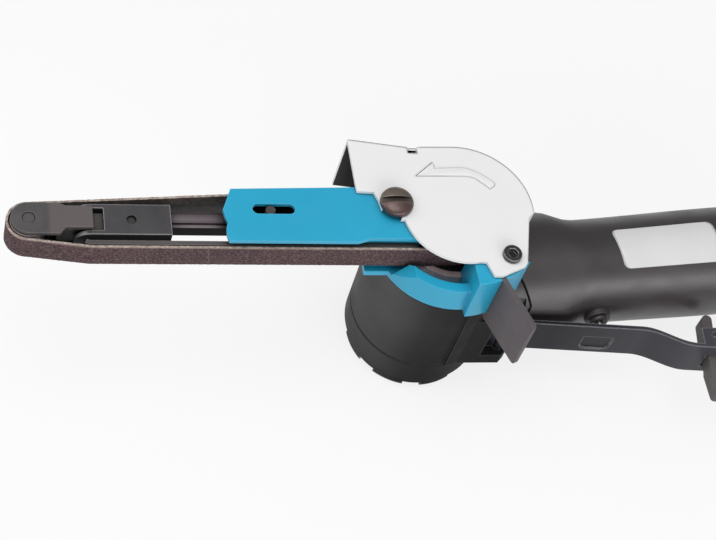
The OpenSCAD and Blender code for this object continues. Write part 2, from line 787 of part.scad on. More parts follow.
// Blue casting: cup ring, tongue, block inside the belt loop and guard post
module arm_base() {
    outer_r = housing_top_r + arm_overhang;
    color(blue) difference() {
        union() {
            rod(outer_r, arm_z0, ring_z1);
            translate([-tongue_reach, -tongue_half_w, arm_z0])
                cube([tongue_reach, 2 * tongue_half_w, arm_floor_t]);
            post_sector();
        }
        rod(outer_r - ring_wall, arm_floor_z, cover_z1 + 1);
        rod(neck_r + gap, arm_z0 - 1, arm_floor_z + 1);
        run_room();
        ring_ramp();
        shield_slot();
        translate([pivot[0], pivot[1], post_z1 - 14]) cylinder(r = pivot_shank_r + seat_fit, h = 20);
    }
    color(blue) difference() {
        union() {
            translate([-tongue_reach, block_low_y, arm_z0])
                cube([tongue_reach - casing_rear - 0.5, block_up_y - block_low_y, cover_z0 - arm_z0]);
            post_core();
        }
        rod(neck_r + gap, arm_z0 - 1, arm_floor_z + 1);
        rod(lock_ring_r + gap, arm_floor_z, lock_z1 + gap);
        translate([latch[0], latch[1], latch_thread_z0 - 0.5])
            cylinder(r = latch_shank_r - 0.5 + seat_fit, h = 20);
        along_arm(tongue_reach + 1, rod_y, belt_mid_z)
            cylinder(r = rod_tail_r + slip, h = tail_hold + tension_travel + 2);
        shield_slot();
        translate([pivot[0], pivot[1], post_z1 - 14]) cylinder(r = pivot_shank_r + seat_fit, h = 20);
    }
}

// Sector of the guard post outside the cup ring's inner wall
module post_sector() {
    slab(concat([[0, 0]], arc([0, 0], post_r, post_from, post_to, 10)), arm_z0, post_z1);
}

// Part of the guard post that stands inside the cup ring
module post_core() {
    difference() {
        slab(concat([[0, 0]], arc([0, 0], post_r - ring_wall, post_from, post_to, 10)), arm_z0, post_z1);
        rod(post_inner_r, arm_z0 - 1, post_z1 + 1);
        rod(lock_ring_r + gap, arm_z0 - 1, lock_z1 + gap);
    }
}

// Room for both belt runs and the front of the loop through the cup ring
module run_room() {
    half = loop_wheel_r + belt_t + 1.2;
    translate([-far, -half, arm_floor_z]) cube([far, 2 * half, far]);
}

// Slope at the end of the cup ring's wall on the working side
module ring_ramp() {
    foot = tongue_reach - 8;
    translate([0, -tongue_half_w + 2, 0]) rotate([90, 0, 0]) linear_extrude(far) polygon([
        [-far, arm_floor_z], [-foot, arm_floor_z], [7 - foot, ring_z1 + 1], [-far, ring_z1 + 1]
    ]);
}

module shield_slot() {
    rotate([0, 0, shield_angle])
        translate([shield_root_r - seat_fit, -shield_t / 2 - seat_fit, post_z1 - shield_h - 1])
            cube([far, shield_t + 2 * seat_fit, far]);
}

// Blue sheet cover with inner walls on the block
module arm_casing() {
    top_front = rod_y + cover_up;
    low = rod_y - cover_down;
    cover = concat(
        [
            [3 - casing_reach, top_front],
            [-casing_reach, rod_y],
        ],
        arc([-casing_reach - 2, rod_y - 4.7], 3.1, 32, -32, 6),
        [
            [0.6 - casing_reach, low + 2],
            [1.2 - casing_reach, low],
            [-35, low],
            [-31, low + cover_step],
            [-casing_rear, low + cover_step],
            [-casing_rear, top_front + cover_rise]
        ]);
    color(blue) difference() {
        union() {
            slab(cover, cover_z0, cover_z1);
            casing_wall(wall_low_y);
            casing_wall(wall_up_y - casing_t);
        }
        slot_cut();
        translate([latch[0], latch[1], cover_z0 - 1])
            cylinder(r = latch_shank_r + seat_fit, h = casing_t + 2);
        rivet_holes(seat_fit);
    }
}

module casing_wall(y0) {
    translate([wall_front - casing_reach, y0, wall_z0])
        cube([casing_reach - wall_front - casing_rear, casing_t, cover_z0 - wall_z0 + 0.5]);
}

module slot_cut() {
    half = slot_l / 2 - slot_w / 2;
    for (dx = [-half, half])
        translate([dx - slot_reach, rod_y + 0.4, cover_z0 - 1]) cylinder(r = slot_w / 2, h = casing_t + 2);
    translate([-half - slot_reach, rod_y + 0.4 - slot_w / 2, cover_z0 - 1])
        cube([2 * half, slot_w, casing_t + 2]);
}

// Guide of the tension bar at the casing's front
module rod_bush() {
    color(steel_dark) difference() {
        translate([wall_front - casing_reach, block_low_y - slip, wall_z0])
            cube([bush_l, block_up_y - block_low_y + 2 * slip, cover_z0 - wall_z0]);
        square_bar(casing_reach, far, pin_fit);
    }
}

// Spring steel strip behind the working run of the belt
module platen() {
    a_end = clockwise_to(-90, angle_of(run_nose)) - 12;
    face_r = nose_r - platen_gap;
    strip = concat(
        [[-platen_rear, platen_face_y]],
        arc(nose_c, face_r, -90, a_end, 8),
        turned(arc(nose_c, face_r - platen_t, -90, a_end, 8)),
        [[-platen_rear, platen_back_y]]);
    color(steel_dark) difference() {
        slab(strip, platen_z0, belt_z1 - 0.1);
        rivet_holes(seat_fit);
    }
}

// Rivets that hold the platen under the casing's lower wall
module rivet_holes(clear) {
    first = tongue_reach + 10.5;
    last = casing_reach - 7;
    for (x = [first, (first + last) / 2, last])
        translate([-x, platen_face_y + 0.2 - clear, belt_mid_z]) rotate([-90, 0, 0])
            cylinder(r = 1.5 + clear, h = platen_t + casing_t - 0.2 + 2 * clear);
}

module platen_rivets() { color(steel) rivet_holes(0); }

// Endless abrasive belt round wheel, platen nose and nose pulley
module sanding_belt() {
    color(belt_brown) translate([0, 0, belt_z0]) linear_extrude(belt_w) difference() {
        polygon(loop_outline(belt_t));
        polygon(loop_outline(0));
    }
}

module tension_spring() {
    l = spring_l - tension_wire - 2 * slip;
    tension_coils = max(1, floor(l / tension_pitch));
    color(steel)
        along_arm(rod_end - slip - tension_wire / 2, rod_y, belt_mid_z)
            coil(tension_coil_r, l / tension_coils, tension_coils, tension_wire, "tension_spring");
}

// Slotted dome screw that the guard hooks on
module latch_screw() {
    head_z0 = guard_z1 + gap;
    head_h = 2.9;
    dome = [for (i = [0:6]) let (a = i * 15) [latch_head_r * cos(a), head_z0 + 1 + (head_h - 1) * sin(a)]];
    color(steel_dark) translate([latch[0], latch[1], 0]) difference() {
        union() {
            rotate_extrude() polygon(concat([[0, head_z0], [latch_head_r, head_z0]], dome));
            rod(latch_shank_r, cover_z0, head_z0 + 1);
            rod(latch_shank_r - 0.5, latch_thread_z0, cover_z0 + 1);
        }
        translate([-far / 2, -1, head_z0 + 1.2]) cube([far, 2, far]);
    }
}

// Socket screw that the guard swings on
module guard_pivot_screw() {
    head_z0 = guard_z1 + slip;
    color(steel_dark) translate([pivot[0], pivot[1], 0]) difference() {
        union() {
            rod(pivot_shank_r + 1.1, head_z0, head_z0 + 1.7);
            rod(pivot_shank_r, post_z1 - 12, head_z0 + 1);
        }
        translate([0, 0, head_z0 + 0.5]) cylinder(r = 1.7, h = 3, $fn = 6);
    }
}

// Plate that keeps sparks away from the fingers on the lever
module spark_shield() {
    z0 = shield_z1 - shield_h;
    r0 = shield_root_r;
    r1 = shield_reach;
    c = shield_corner;
    outline = concat(
        [[r0, z0 + shield_h / 2], [r0, shield_z1]],
        arc([r1 - c, shield_z1 - c], c, 90, 0, 4),
        arc([r1 - c, z0 + c], c, 0, -90, 4),
        arc([post_r - 1.2 + c, z0 + c], c, -90, -180, 4),
        [[post_r - 1.2, z0 + shield_h / 2]]);
    color(lever_grey) rotate([0, 0, shield_angle]) difference() {
        rotate([90, 0, 0]) translate([0, 0, -shield_t / 2]) linear_extrude(shield_t) polygon(outline);
        shield_rivet_solids(seat_fit);
    }
}

module shield_rivet_solids(clear) {
    for (z = [4, 9])
        translate([post_r - 3.4, -shield_t / 2 - clear, shield_z1 - z]) rotate([-90, 0, 0])
            cylinder(r = 1 + clear, h = shield_t + 2 * clear);
}

module shield_rivets() { color(steel) rotate([0, 0, shield_angle]) shield_rivet_solids(0); }

// Square bar from "reach" back towards the motor
module square_bar(reach, l, clear) {
    half = bar_half + clear;
    translate([-reach, rod_y - half, belt_mid_z - half]) cube([l, 2 * half, 2 * half]);
}

// Square bar that pushes the nose carriage out
module tension_rod() {
    color(steel_dark) difference() {
        union() {
            square_bar(channel_rear + yoke_t, channel_rear + yoke_t - rod_end, 0);
            along_arm(rod_end + 1, rod_y, belt_mid_z)
                cylinder(r = rod_tail_r, h = rod_end + 1 - rod_tail_end);
        }
        translate([-guide_x, rod_y + 0.4, belt_mid_z - 2]) cylinder(r = guide_pin_r + seat_fit, h = far);
        translate([-channel_rear - far, rod_y - bar_half - 1, belt_mid_z + bar_half - ledge_drop])
            cube([2 * far, ledge_w + 1, ledge_drop + 1]);
    }
}

// Folded channel that carries the yoke
module carriage_channel() {
    z0 = channel_z0;
    color(cast_dark) difference() {
        union() {
            for (side = [-1, 1])
                translate([0, channel_y + side * (channel_half_w - yoke_t / 2), 0]) channel_cheek();
            translate([-channel_front, channel_y - channel_half_w, channel_z1 - yoke_t])
                cube([channel_l, 2 * channel_half_w, yoke_t]);
            translate([-channel_rear - yoke_t, channel_y - channel_half_w, z0])
                cube([yoke_t, 2 * channel_half_w, channel_z1 - z0]);
        }
        square_bar(channel_rear + 2 * yoke_t, 3 * yoke_t, seat_fit);
        translate([-yoke_pin_x(), channel_y, belt_z0]) cylinder(r = 1.5 + seat_fit, h = far);
    }
}

function yoke_pin_x() = channel_rear + 12.3;

// Cheek with a round front end
module channel_cheek() {
    h = channel_z1 - channel_z0;
    front = channel_front + cheek_l;
    outline = concat(
        [[-channel_rear, channel_z0], [-channel_rear, channel_z1], [-channel_front, channel_z1]],
        arc([h / 2 - front, channel_z0 + h / 2], h / 2, 90, 270, 10));
    translate([0, yoke_t / 2, 0]) rotate([90, 0, 0]) linear_extrude(yoke_t) polygon(outline);
}

// Fork that holds the nose pulley
module idler_yoke() {
    shoulder = -yoke_shoulder;
    tongue_half = 3.9;
    plate = concat(
        arc(idler_c, yoke_half_w, 90, 270, 12),
        [
            [shoulder - 2, idler_c[1] - yoke_half_w],
            [shoulder, channel_y - tongue_half],
            [-tongue_end, channel_y - tongue_half],
            [-tongue_end, channel_y + tongue_half],
            [shoulder, channel_y + tongue_half],
            [shoulder - 2, idler_c[1] + yoke_half_w]
        ]);
    fork = concat(
        arc(idler_c, yoke_half_w, 90, 270, 12),
        [[-tongue_end, idler_c[1] - yoke_half_w], [-tongue_end, idler_c[1] + yoke_half_w]]);
    color(cast_dark) difference() {
        union() {
            slab(plate, yoke_z0, yoke_z1);
            slab(fork, yoke_far_z0, yoke_far_z0 + yoke_t);
            translate([-web_x, channel_y - yoke_bar_half, yoke_far_z0])
                cube([web_l, 2 * yoke_bar_half, yoke_z1 - yoke_far_z0]);
            translate([-web_x, channel_y - yoke_bar_half, belt_mid_z - yoke_bar_half])
                cube([
                    web_x - yoke_pin_x() + yoke_bar_half,
                    2 * yoke_bar_half,
                    channel_z1 - yoke_t - belt_mid_z + yoke_bar_half
                ]);
        }
        translate([idler_c[0], idler_c[1], belt_z0 - far / 2]) cylinder(r = axle_r + seat_fit, h = far);
        translate([-yoke_pin_x(), channel_y, belt_z0 - 1]) cylinder(r = 1.5 + seat_fit, h = far);
    }
}

module yoke_pin() {
    color(steel_dark)
        translate([-yoke_pin_x(), channel_y, 0]) rod(1.5, belt_mid_z - yoke_bar_half, channel_z1 - 0.9);
}

module idler_axle() {
    color(steel) translate([idler_c[0], idler_c[1], 0]) rod(axle_r, yoke_far_z0 - 0.4, yoke_z1 - 0.25);
}

module guide_pin() {
    color(steel) translate([-guide_x, rod_y + 0.4, 0]) rod(guide_pin_r, belt_mid_z - 2, cover_z1 - 0.5);
}

// Nose pulley running on its bush
module idler_pulley() {
    color(steel) translate([idler_c[0], idler_c[1], 0]) difference() {
        rod(idler_r, belt_z0, belt_z1);
        rod(axle_r + 1 + seat_fit, belt_z0 - 1, belt_z1 + 1);
    }
}

module idler_bush() {
    color(brass) translate([idler_c[0], idler_c[1], 0]) difference() {
        rod(axle_r + 1, belt_z0, belt_z1);
        rod(axle_r + pin_fit, belt_z0 - 1, belt_z1 + 1);
    }
}

// Sheet guard: plate with a hook notch, round skirt and front flange
module belt_guard() {
    color(sheet_silver) difference() {
        union() {
            slab(guard_outline(), guard_z0, guard_z1);
            slab(concat(skirt_path(guard_r), turned(skirt_path(guard_r - guard_t))), skirt_z0, guard_z1);
            slab(flange_outline(), flange_z0, guard_z1);
        }
        slab(hook_outline(), guard_z0 - 1, guard_z1 + 1);
        translate([pivot[0], pivot[1], guard_z0 - 1]) cylinder(r = pivot_shank_r + pin_fit, h = guard_t + 2);
    }
}

function guard_outline() = concat(
    arc([0, 0], guard_r, guard_from, 90, 24),
    [
        [-skirt_front, guard_top_y],
        [-skirt_front, notch_y],
        [-flange_rear, notch_y],
        [-flange_rear, flange_rear_y],
        [-guard_reach, guard_corner_y],
        [0.7 - guard_reach, latch_y + 4.6],
        [-latch_x - 6.7, latch_y + 4.3],
        [-latch_x - 5.6, latch_y + 1.5],
        [-latch_x - 4, latch_y - 6]
    ],
    arc([0, 0], guard_open_r, -167, -80, 16),
    [
        [pivot[0] - 8.4, -guard_open_r],
        [pivot[0] - 6.6, pivot[1] - 7.3],
        [pivot[0] - 3.8, pivot[1] - 7.3],
        [pivot[0] + 4.2, pivot[1] - 3.7],
        [pivot[0] + 5, pivot[1] - 2.5],
        [guard_r - 2, -3]
    ]);

function skirt_path(r) = concat(
    arc([0, 0], r, guard_from, 90, 24), [[-skirt_front, guard_top_y + r - guard_r]]);

function flange_outline() = [
    [-flange_rear, flange_rear_y],
    [-guard_reach, guard_corner_y],
    [-guard_reach, guard_corner_y - guard_t],
    [-flange_rear, flange_rear_y - guard_t]
];

// Path that the latch screw takes out of the guard as the guard swings
function hook_outline() = concat(
    arc(pivot, latch_swing_r + hook_r, latch_swing_a + hook_sweep, latch_swing_a, 12),
    arc(latch, hook_r, latch_swing_a, latch_swing_a - 180, 12),
    arc(pivot, latch_swing_r - hook_r, latch_swing_a, latch_swing_a + hook_sweep, 12));

// Bent strip lever with a rolled knuckle and ears for the lock pin
module throttle_lever() {
    xs = concat([lever_front], [for (i = [0:lever_steps]) jog_from + jog_l * i / lever_steps], [lever_rear]);
    strip = concat([for (x = xs) [x, lever_y(x)]], turned([for (x = xs) [x, lever_y(x) + lever_t]]));
    color(lever_grey) difference() {
        union() {
            slab(strip, lever_z0, lever_z1);
            translate([lever_pin[0], lever_pin[1], 0]) rod(knuckle_r, lever_z0, lever_z1);
            for (z = [lever_z0, lever_z1 - lever_t])
                translate([lock_x - lock_ear_l / 2, lever_y(lock_x - lock_ear_l / 2) + 0.2, z])
                    cube([lock_ear_l, lock_ear_h, lever_t]);
        }
        translate([lever_pin[0], lever_pin[1], lever_z0 - 1]) cylinder(r = pin_r + pin_fit, h = lever_w + 2);
        translate([lock_x, lock_y, lever_z0 - 1]) cylinder(r = pin_r + seat_fit, h = lever_w + 2);
        translate([lock_x - 2.6, lever_y(lever_rear) - 2, lock_z0_tab - 0.5])
            cube([lock_pad_l, lever_jog + 8, lock_w + 1]);
        lever_dimple();
    }
}

// Pocket pressed into the lever's outer face where it meets the valve stem
module lever_dimple() {
    half = dimple_w / 2;
    round_r = dimple_w / 4;
    low = -dimple_w / 2 + round_r;
    translate([valve_s, lever_y(valve_s) + dimple_depth, handle_z - 1])
        rotate([90, 0, -lever_slope]) linear_extrude(2 * dimple_depth) polygon(concat(
            [[half, half - round_r], [-half, half - round_r]],
            arc([round_r - half, low], round_r, 180, 270, 6),
            arc([half - round_r, low], round_r, -90, 0, 6)));
}

module lock_pin() {
    color(steel) translate([lock_x, lock_y, 0]) rod(pin_r, lever_z0 - 0.4, lever_z1 + 0.4);
}

module lock_spring() {
    z0 = lock_z0_tab + lock_w + gap + lock_wire / 2;
    room = lever_z1 - lever_t - slip - lock_wire / 2 - z0;
    color(steel) translate([lock_x, lock_y, z0])
        coil(lock_coil_r, room / lock_coils, lock_coils, lock_wire, "lock_spring");
}

// Lock-off tab: stop leg towards the handle and finger pad below the lever
module lock_tab() {
    lean = 90 + handle_yaw - lock_lean;
    tip = lock_leg_l * [cos(lean), sin(lean)];
    side = lock_leg_r * [sin(lean), -cos(lean)];
    leg = concat([side], arc(tip, lock_leg_r, lean - 90, lean + 90, 8), [-side]);
    pad = concat(
        [[1.8, 0], [1.8, 2 - lock_pad_from], [2.4, -lock_pad_from]],
        arc([1.2, 1.4 - lock_pad_l], 1.4, 0, -90, 4),
        arc([-0.2, 1.4 - lock_pad_l], 1.4, -90, -180, 4),
        [[-2.2, -lock_pad_from], [-1.8, 2 - lock_pad_from], [-1.8, 0]]);
    color(cast_dark) translate([lock_x, lock_y, 0]) difference() {
        union() {
            rod(pin_r + 1.2, lock_z0_tab, lock_z0_tab + lock_w);
            slab(leg, lock_z0_tab, lock_z0_tab + lock_w);
            slab(pad, lock_z0_tab, lock_z0_tab + lock_w);
        }
        rod(pin_r + pin_fit, lock_z0_tab - 1, lock_z0_tab + lock_w + 1);
    }
}

// Stem with valve head, pushed in by the lever
module valve_stem() {
    color(steel) union() {
        at_valve(valve_head_d - 1) cylinder(r = stem_r, h = stem_tip_d - valve_head_d);
        at_valve(stem_tip_d - 1) cylinder(r1 = stem_r, r2 = stem_r - 0.7, h = 1);
        at_valve(valve_head_d - valve_head_t) cylinder(r = valve_head_r, h = valve_head_t);
    }
}

module valve_seal() {
    color("#2a2a2a") at_valve(valve_head_d + seal_t / 2)
        rotate_extrude() translate([stem_r + seat_fit + seal_t / 2, 0]) circle(r = seal_t / 2);
}

motor_housing();
end_cap();
handle_grip();
rear_end_plate();
front_end_plate();
motor_cylinder();
rear_bearing();
front_bearing();
lock_ring();
lever_pivot_pin();
valve_bushing();
valve_spring();
inlet_bushing();
inlet_screen();
rotor_shaft();
rotor_vanes();
drive_wheel();
wheel_nut();
arm_base();
arm_casing();
rod_bush();
platen();
platen_rivets();
sanding_belt();
tension_spring();
latch_screw();
guard_pivot_screw();
spark_shield();
shield_rivets();
tension_rod();
carriage_channel();
idler_yoke();
yoke_pin();
idler_axle();
guide_pin();
idler_pulley();
idler_bush();
belt_guard();
throttle_lever();
lock_pin();
lock_spring();
lock_tab();
valve_stem();
valve_seal();
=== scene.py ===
"""Looks of an air-driven finger belt sander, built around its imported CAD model.

Blender works in metres. Places and sizes typed here are in millimetres, as in the part's source, unless a
comment says otherwise.
"""
import math
import random

import bpy
import bmesh
from mathutils import Matrix, Vector, noise
from mathutils.bvhtree import BVHTree


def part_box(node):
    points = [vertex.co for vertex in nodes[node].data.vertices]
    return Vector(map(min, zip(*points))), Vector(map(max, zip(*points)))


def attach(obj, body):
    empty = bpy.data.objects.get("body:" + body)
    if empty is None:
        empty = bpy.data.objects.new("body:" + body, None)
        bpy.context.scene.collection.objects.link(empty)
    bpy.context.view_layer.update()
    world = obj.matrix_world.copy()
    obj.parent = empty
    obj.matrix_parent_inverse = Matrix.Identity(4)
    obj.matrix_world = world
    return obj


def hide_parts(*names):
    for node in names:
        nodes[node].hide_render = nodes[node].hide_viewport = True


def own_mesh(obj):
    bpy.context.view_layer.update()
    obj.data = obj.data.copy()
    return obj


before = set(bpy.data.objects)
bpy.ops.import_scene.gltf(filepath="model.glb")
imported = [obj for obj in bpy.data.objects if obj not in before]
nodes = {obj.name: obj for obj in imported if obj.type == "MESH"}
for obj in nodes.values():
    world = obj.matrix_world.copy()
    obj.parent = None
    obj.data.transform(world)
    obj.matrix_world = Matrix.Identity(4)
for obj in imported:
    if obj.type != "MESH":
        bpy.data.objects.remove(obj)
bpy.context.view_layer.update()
scene = bpy.context.scene
scene.view_settings.view_transform = "Standard"
MM = 0.001

# Belt: its two edges in Z, its thickness, the circles that its back runs round, and its splice
BELT_Z = (63.0, 73.0)
BELT_T = 1.0
WHEEL = ((0.0, 0.0), 11.3)
NOSE = ((-117.0, -3.3), 8.0)
IDLER = ((-136.4, -3.0), 5.85)
SPLICE = (-80.4, -11.3)

# Handle: its axis is level and turned a little off X; SIDE points to the lever
HANDLE_YAW = math.radians(5.3)
HANDLE_Z = 31.3
ALONG = Vector((math.cos(HANDLE_YAW), math.sin(HANDLE_YAW), 0))
SIDE = Vector((math.sin(HANDLE_YAW), -math.cos(HANDLE_YAW), 0))
# Joint between neck and grip: a slanted plane, on which the way along the handle plus a share of Y is the same
JOINT_SLANT = 0.55
JOINT_AT = 20.3
JOINT_HALF = 0.2
# Grip: a place along the handle and the radius there
GRIP_WAIST = (53.0, 17.95)
GRIP_SWELL = (108.0, 18.8)
INLET = {"mouth": 161.0, "depth": 12.0, "radius": 5.72, "pitch": 1.41}

# Guard: its sheet in Z, the stretch over which painted shade turns its inside black, the width of the painted
# shade on its far rim, and the side that the rim looks to
GUARD_Z = (77.0, 78.2)
GUARD_SHADE_X = (-34.6, -29.0)
GUARD_SHADED_RIM = 1.2
GUARD_FAR_SIDE = (0.55, 0.83, 0.0)

# Places where the tone of a piece changes
BARREL_X = (-23.0, 17.0)
BARREL_Z = (0.0, 46.0)
SEAM_Z = 17.0
SEAM_HALF = 1.0
CAP_FOOT_HIGHLIGHT_Z = (0.0, 1.2)
CASING_Y = -0.5
LATCH_Y = 1.4
LATCH_R = 5.4
LEVER_X = (40.0, 110.0)
BAR_Y = (-3.1, 2.1)
YOKE_STEP_X = (-131.0, -129.6)
PIN_RIM = (2.3, 2.9)

# Values that the materials share: reach of the painted shade in gaps, gloss of a clear coat, strength of a fine
# skin, and the tint of faces that mirror almost nothing
GAP_SHADE_REACH = 7.0
COAT_ROUGHNESS = 0.18
SKIN_STRENGTH = 0.5
DULL_TINT = 0.46


# Shader nodes
def tree_of(name):
    """A new material, its node tree and its shader."""
    m = bpy.data.materials.new(name)
    m.use_nodes = True
    t = m.node_tree
    return m, t, t.nodes["Principled BSDF"]


def add(t, kind, **values):
    """A new node; each value goes to the input of that name, or else to the node's own setting."""
    n = t.nodes.new(kind)
    for k, v in values.items():
        if k in n.inputs:
            n.inputs[k].default_value = v
        else:
            setattr(n, k, v)
    return n


def plug(t, value, socket):
    """Links an output to a socket, or sets a plain value on it."""
    if isinstance(value, bpy.types.NodeSocket):
        t.links.new(value, socket)
    else:
        socket.default_value = value


def grey(v):
    return (v, v, v)


def coords(t, kind="Object"):
    """Place in the object's own metres, or its normal."""
    return add(t, "ShaderNodeTexCoord").outputs[kind]


def maths(t, kind, a, b):
    m = add(t, "ShaderNodeMath", operation=kind)
    plug(t, a, m.inputs[0])
    plug(t, b, m.inputs[1])
    return m.outputs[0]


def vector(t, kind, a, b=(0, 0, 0)):
    m = add(t, "ShaderNodeVectorMath", operation=kind)
    plug(t, a, m.inputs[0])
    plug(t, b, m.inputs[1])
    return m.outputs["Value" if kind in ("DOT_PRODUCT", "DISTANCE") else "Vector"]


def split(t, place):
    """Outputs X, Y and Z of a vector."""
    xyz = add(t, "ShaderNodeSeparateXYZ")
    t.links.new(place, xyz.inputs["Vector"])
    return xyz.outputs


def turned(t, normal, start, end):
    """A normal taken from one space to another."""
    turn = add(t, "ShaderNodeVectorTransform", vector_type="NORMAL", convert_from=start, convert_to=end)
    t.links.new(normal, turn.inputs["Vector"])
    return turn.outputs["Vector"]


def mix(t, fac, a, b, mode="MIX"):
    m = add(t, "ShaderNodeMix", data_type="RGBA", blend_type=mode)
    for value, socket in ((fac, m.inputs[0]), (a, m.inputs[6]), (b, m.inputs[7])):
        plug(t, (*value, 1) if isinstance(value, tuple) else value, socket)
    return m.outputs[2]


def times(t, tone, factor):
    return mix(t, 1.0, tone, factor, "MULTIPLY")


def ramp(t, src, stops):
    """Colours or grey levels at stops of a value between 0 and 1."""
    r = add(t, "ShaderNodeValToRGB")
    e = r.color_ramp.elements
    while len(e) < len(stops):
        e.new(0.5)
    for el, (pos, col) in zip(e, stops):
        el.position = pos
        el.color = (*(col if isinstance(col, tuple) else grey(col)), 1)
    t.links.new(src, r.inputs["Fac"])
    return r.outputs["Color"]


def span(t, value, start, end):
    """Goes from 0 to 1 as a value goes from start to end."""
    n = add(t, "ShaderNodeMapRange", **{"From Min": start, "From Max": end})
    t.links.new(value, n.inputs["Value"])
    return n.outputs["Result"]


def along_axis(t, axis, start, end):
    """Goes from 0 to 1 between two places on an axis."""
    return span(t, split(t, coords(t))[axis], start * MM, end * MM)


def noise_at(t, scale, detail=3.0, rough=0.55, stretch=None):
    """Noise over the object; stretch draws it out along an axis."""
    place = coords(t)
    if stretch:
        mapping = add(t, "ShaderNodeMapping", Scale=stretch)
        t.links.new(place, mapping.inputs["Vector"])
        place = mapping.outputs["Vector"]
    n = add(t, "ShaderNodeTexNoise", Scale=scale, Detail=detail, Roughness=rough)
    t.links.new(place, n.inputs["Vector"])
    return n.outputs["Fac"]


def bumped(t, bsdf, parts, normal=None):
    """Adds bump layers on top of a normal, each a height output with its distance and strength."""
    last = normal
    for height, distance, strength in parts:
        b = add(t, "ShaderNodeBump", Strength=strength, Distance=distance * MM)
        t.links.new(height, b.inputs["Height"])
        if last:
            t.links.new(last, b.inputs["Normal"])
        last = b.outputs["Normal"]
    t.links.new(last, bsdf.inputs["Normal"])


# Masks and normals
def rounded(t, width):
    """Normal that rounds sharp edges over a width."""
    return add(t, "ShaderNodeBevel", samples=6, Radius=width * MM).outputs["Normal"]


def edges(t, width, amount):
    """Mask of the sharp edges: where a rounded normal leaves the face's own normal."""
    own = add(t, "ShaderNodeNewGeometry").outputs["True Normal"]
    return ramp(t, vector(t, "DOT_PRODUCT", rounded(t, width), own), [(0.84, amount), (0.975, 0)])


def box_edges(t, width, amount):
    """Mask of the edges of a box along the object's axes: where a rounded normal points between them."""
    xyz = split(t, vector(t, "ABSOLUTE", turned(t, rounded(t, width), "WORLD", "OBJECT")))
    most = maths(t, "MAXIMUM", maths(t, "MAXIMUM", xyz["X"], xyz["Y"]), xyz["Z"])
    return ramp(t, most, [(0.93, amount), (0.99, 0)])


def channel_edges(t, width, amount):
    """Edges of the nose channel, without the rim round its pin."""
    low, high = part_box("yoke_pin")
    axis = ((low.x + high.x) / 2, (low.y + high.y) / 2, 0)
    away = vector(t, "DISTANCE", vector(t, "MULTIPLY", coords(t), (1, 1, 0)), axis)
    return times(t, box_edges(t, width, amount), span(t, away, PIN_RIM[0] * MM, PIN_RIM[1] * MM))


def facing(t, direction, start, end):
    """Goes from 0 to 1 as a face turns towards a direction of the object."""
    return ramp(t, vector(t, "DOT_PRODUCT", coords(t, "Normal"), direction), [(start, 0), (end, 1)])


def inside(t, across, down, start, end):
    """Mask of the inner faces of a bent sheet, which look back across it or down.

    across is the way out from its middle, and down is how far out a face that looks down counts as.
    """
    normal = coords(t, "Normal")
    inward = vector(t, "DOT_PRODUCT", normal, across)
    least = maths(t, "MINIMUM", inward, vector(t, "DOT_PRODUCT", normal, (0, 0, down * MM)))
    return span(t, least, start * MM, end * MM)


def painted_gap_shade(t, dark):
    """Factor of painted shade that darkens corners and gaps."""
    ao = add(t, "ShaderNodeAmbientOcclusion", samples=8, Distance=GAP_SHADE_REACH * MM)
    return ramp(t, ao.outputs["AO"], [(0.3, dark), (0.88, 1)])


def round_normal(t):
    """Normal of a plain round handle, kept where the face looks about that way.

    It makes the run-out of the grip's collar smooth.
    """
    own = coords(t, "Normal")
    from_axis = vector(t, "SUBTRACT", coords(t), (0, 0, HANDLE_Z * MM))
    out = vector(t, "SUBTRACT", from_axis, vector(t, "PROJECT", from_axis, tuple(ALONG)))
    out = vector(t, "NORMALIZE", out)
    keep = ramp(t, vector(t, "DOT_PRODUCT", out, own), [(0.70, 0), (0.82, 1)])
    blend = add(t, "ShaderNodeMix", data_type="VECTOR")
    for value, socket in ((keep, 0), (own, 4), (out, 5)):
        t.links.new(value, blend.inputs[socket])
    return vector(t, "NORMALIZE", turned(t, blend.outputs[1], "OBJECT", "WORLD"))


# Tones of single pieces
def guard_painted_shade(t, tone):
    """Painted shade: the sheet is dark inside, on faces that look at the motor axis or down, and along its far
    rim.
    """
    dark = ramp(t, along_axis(t, "X", *GUARD_SHADE_X), [(0.0, (0.050, 0.041, 0.044)), (0.7, (0.006, 0.003, 0.004))])
    from_axis = vector(t, "MULTIPLY", coords(t), (1, 1, 0))
    tone = mix(t, inside(t, from_axis, down=20, start=-4, end=-9), tone, dark)
    over = vector(t, "DOT_PRODUCT", rounded(t, GUARD_SHADED_RIM), GUARD_FAR_SIDE)
    # Painted shade along the far rim
    rim = times(t, ramp(t, over, [(0.16, 0), (0.36, 0.9)]), facing(t, (0, 0, 1), 0.4, 0.6))
    return mix(t, rim, tone, (0.06, 0.06, 0.06))


def casing_mask(t):
    """Mask of the sheet casing's inside."""
    across = vector(t, "SUBTRACT", coords(t), (0, CASING_Y * MM, 0))
    return inside(t, vector(t, "MULTIPLY", across, (0, 1, 0)), down=10, start=-3.0, end=-4.2)


def casing_inside_shade(t, tone):
    """Painted shade: the sheet casing is black inside."""
    return mix(t, casing_mask(t), tone, (0.004, 0.004, 0.004))


def yoke_tones(t, tone):
    """The yoke's round nose is darker than the tongue behind it."""
    return mix(t, along_axis(t, "X", *YOKE_STEP_X), tone, (0.112, 0.096, 0.096))


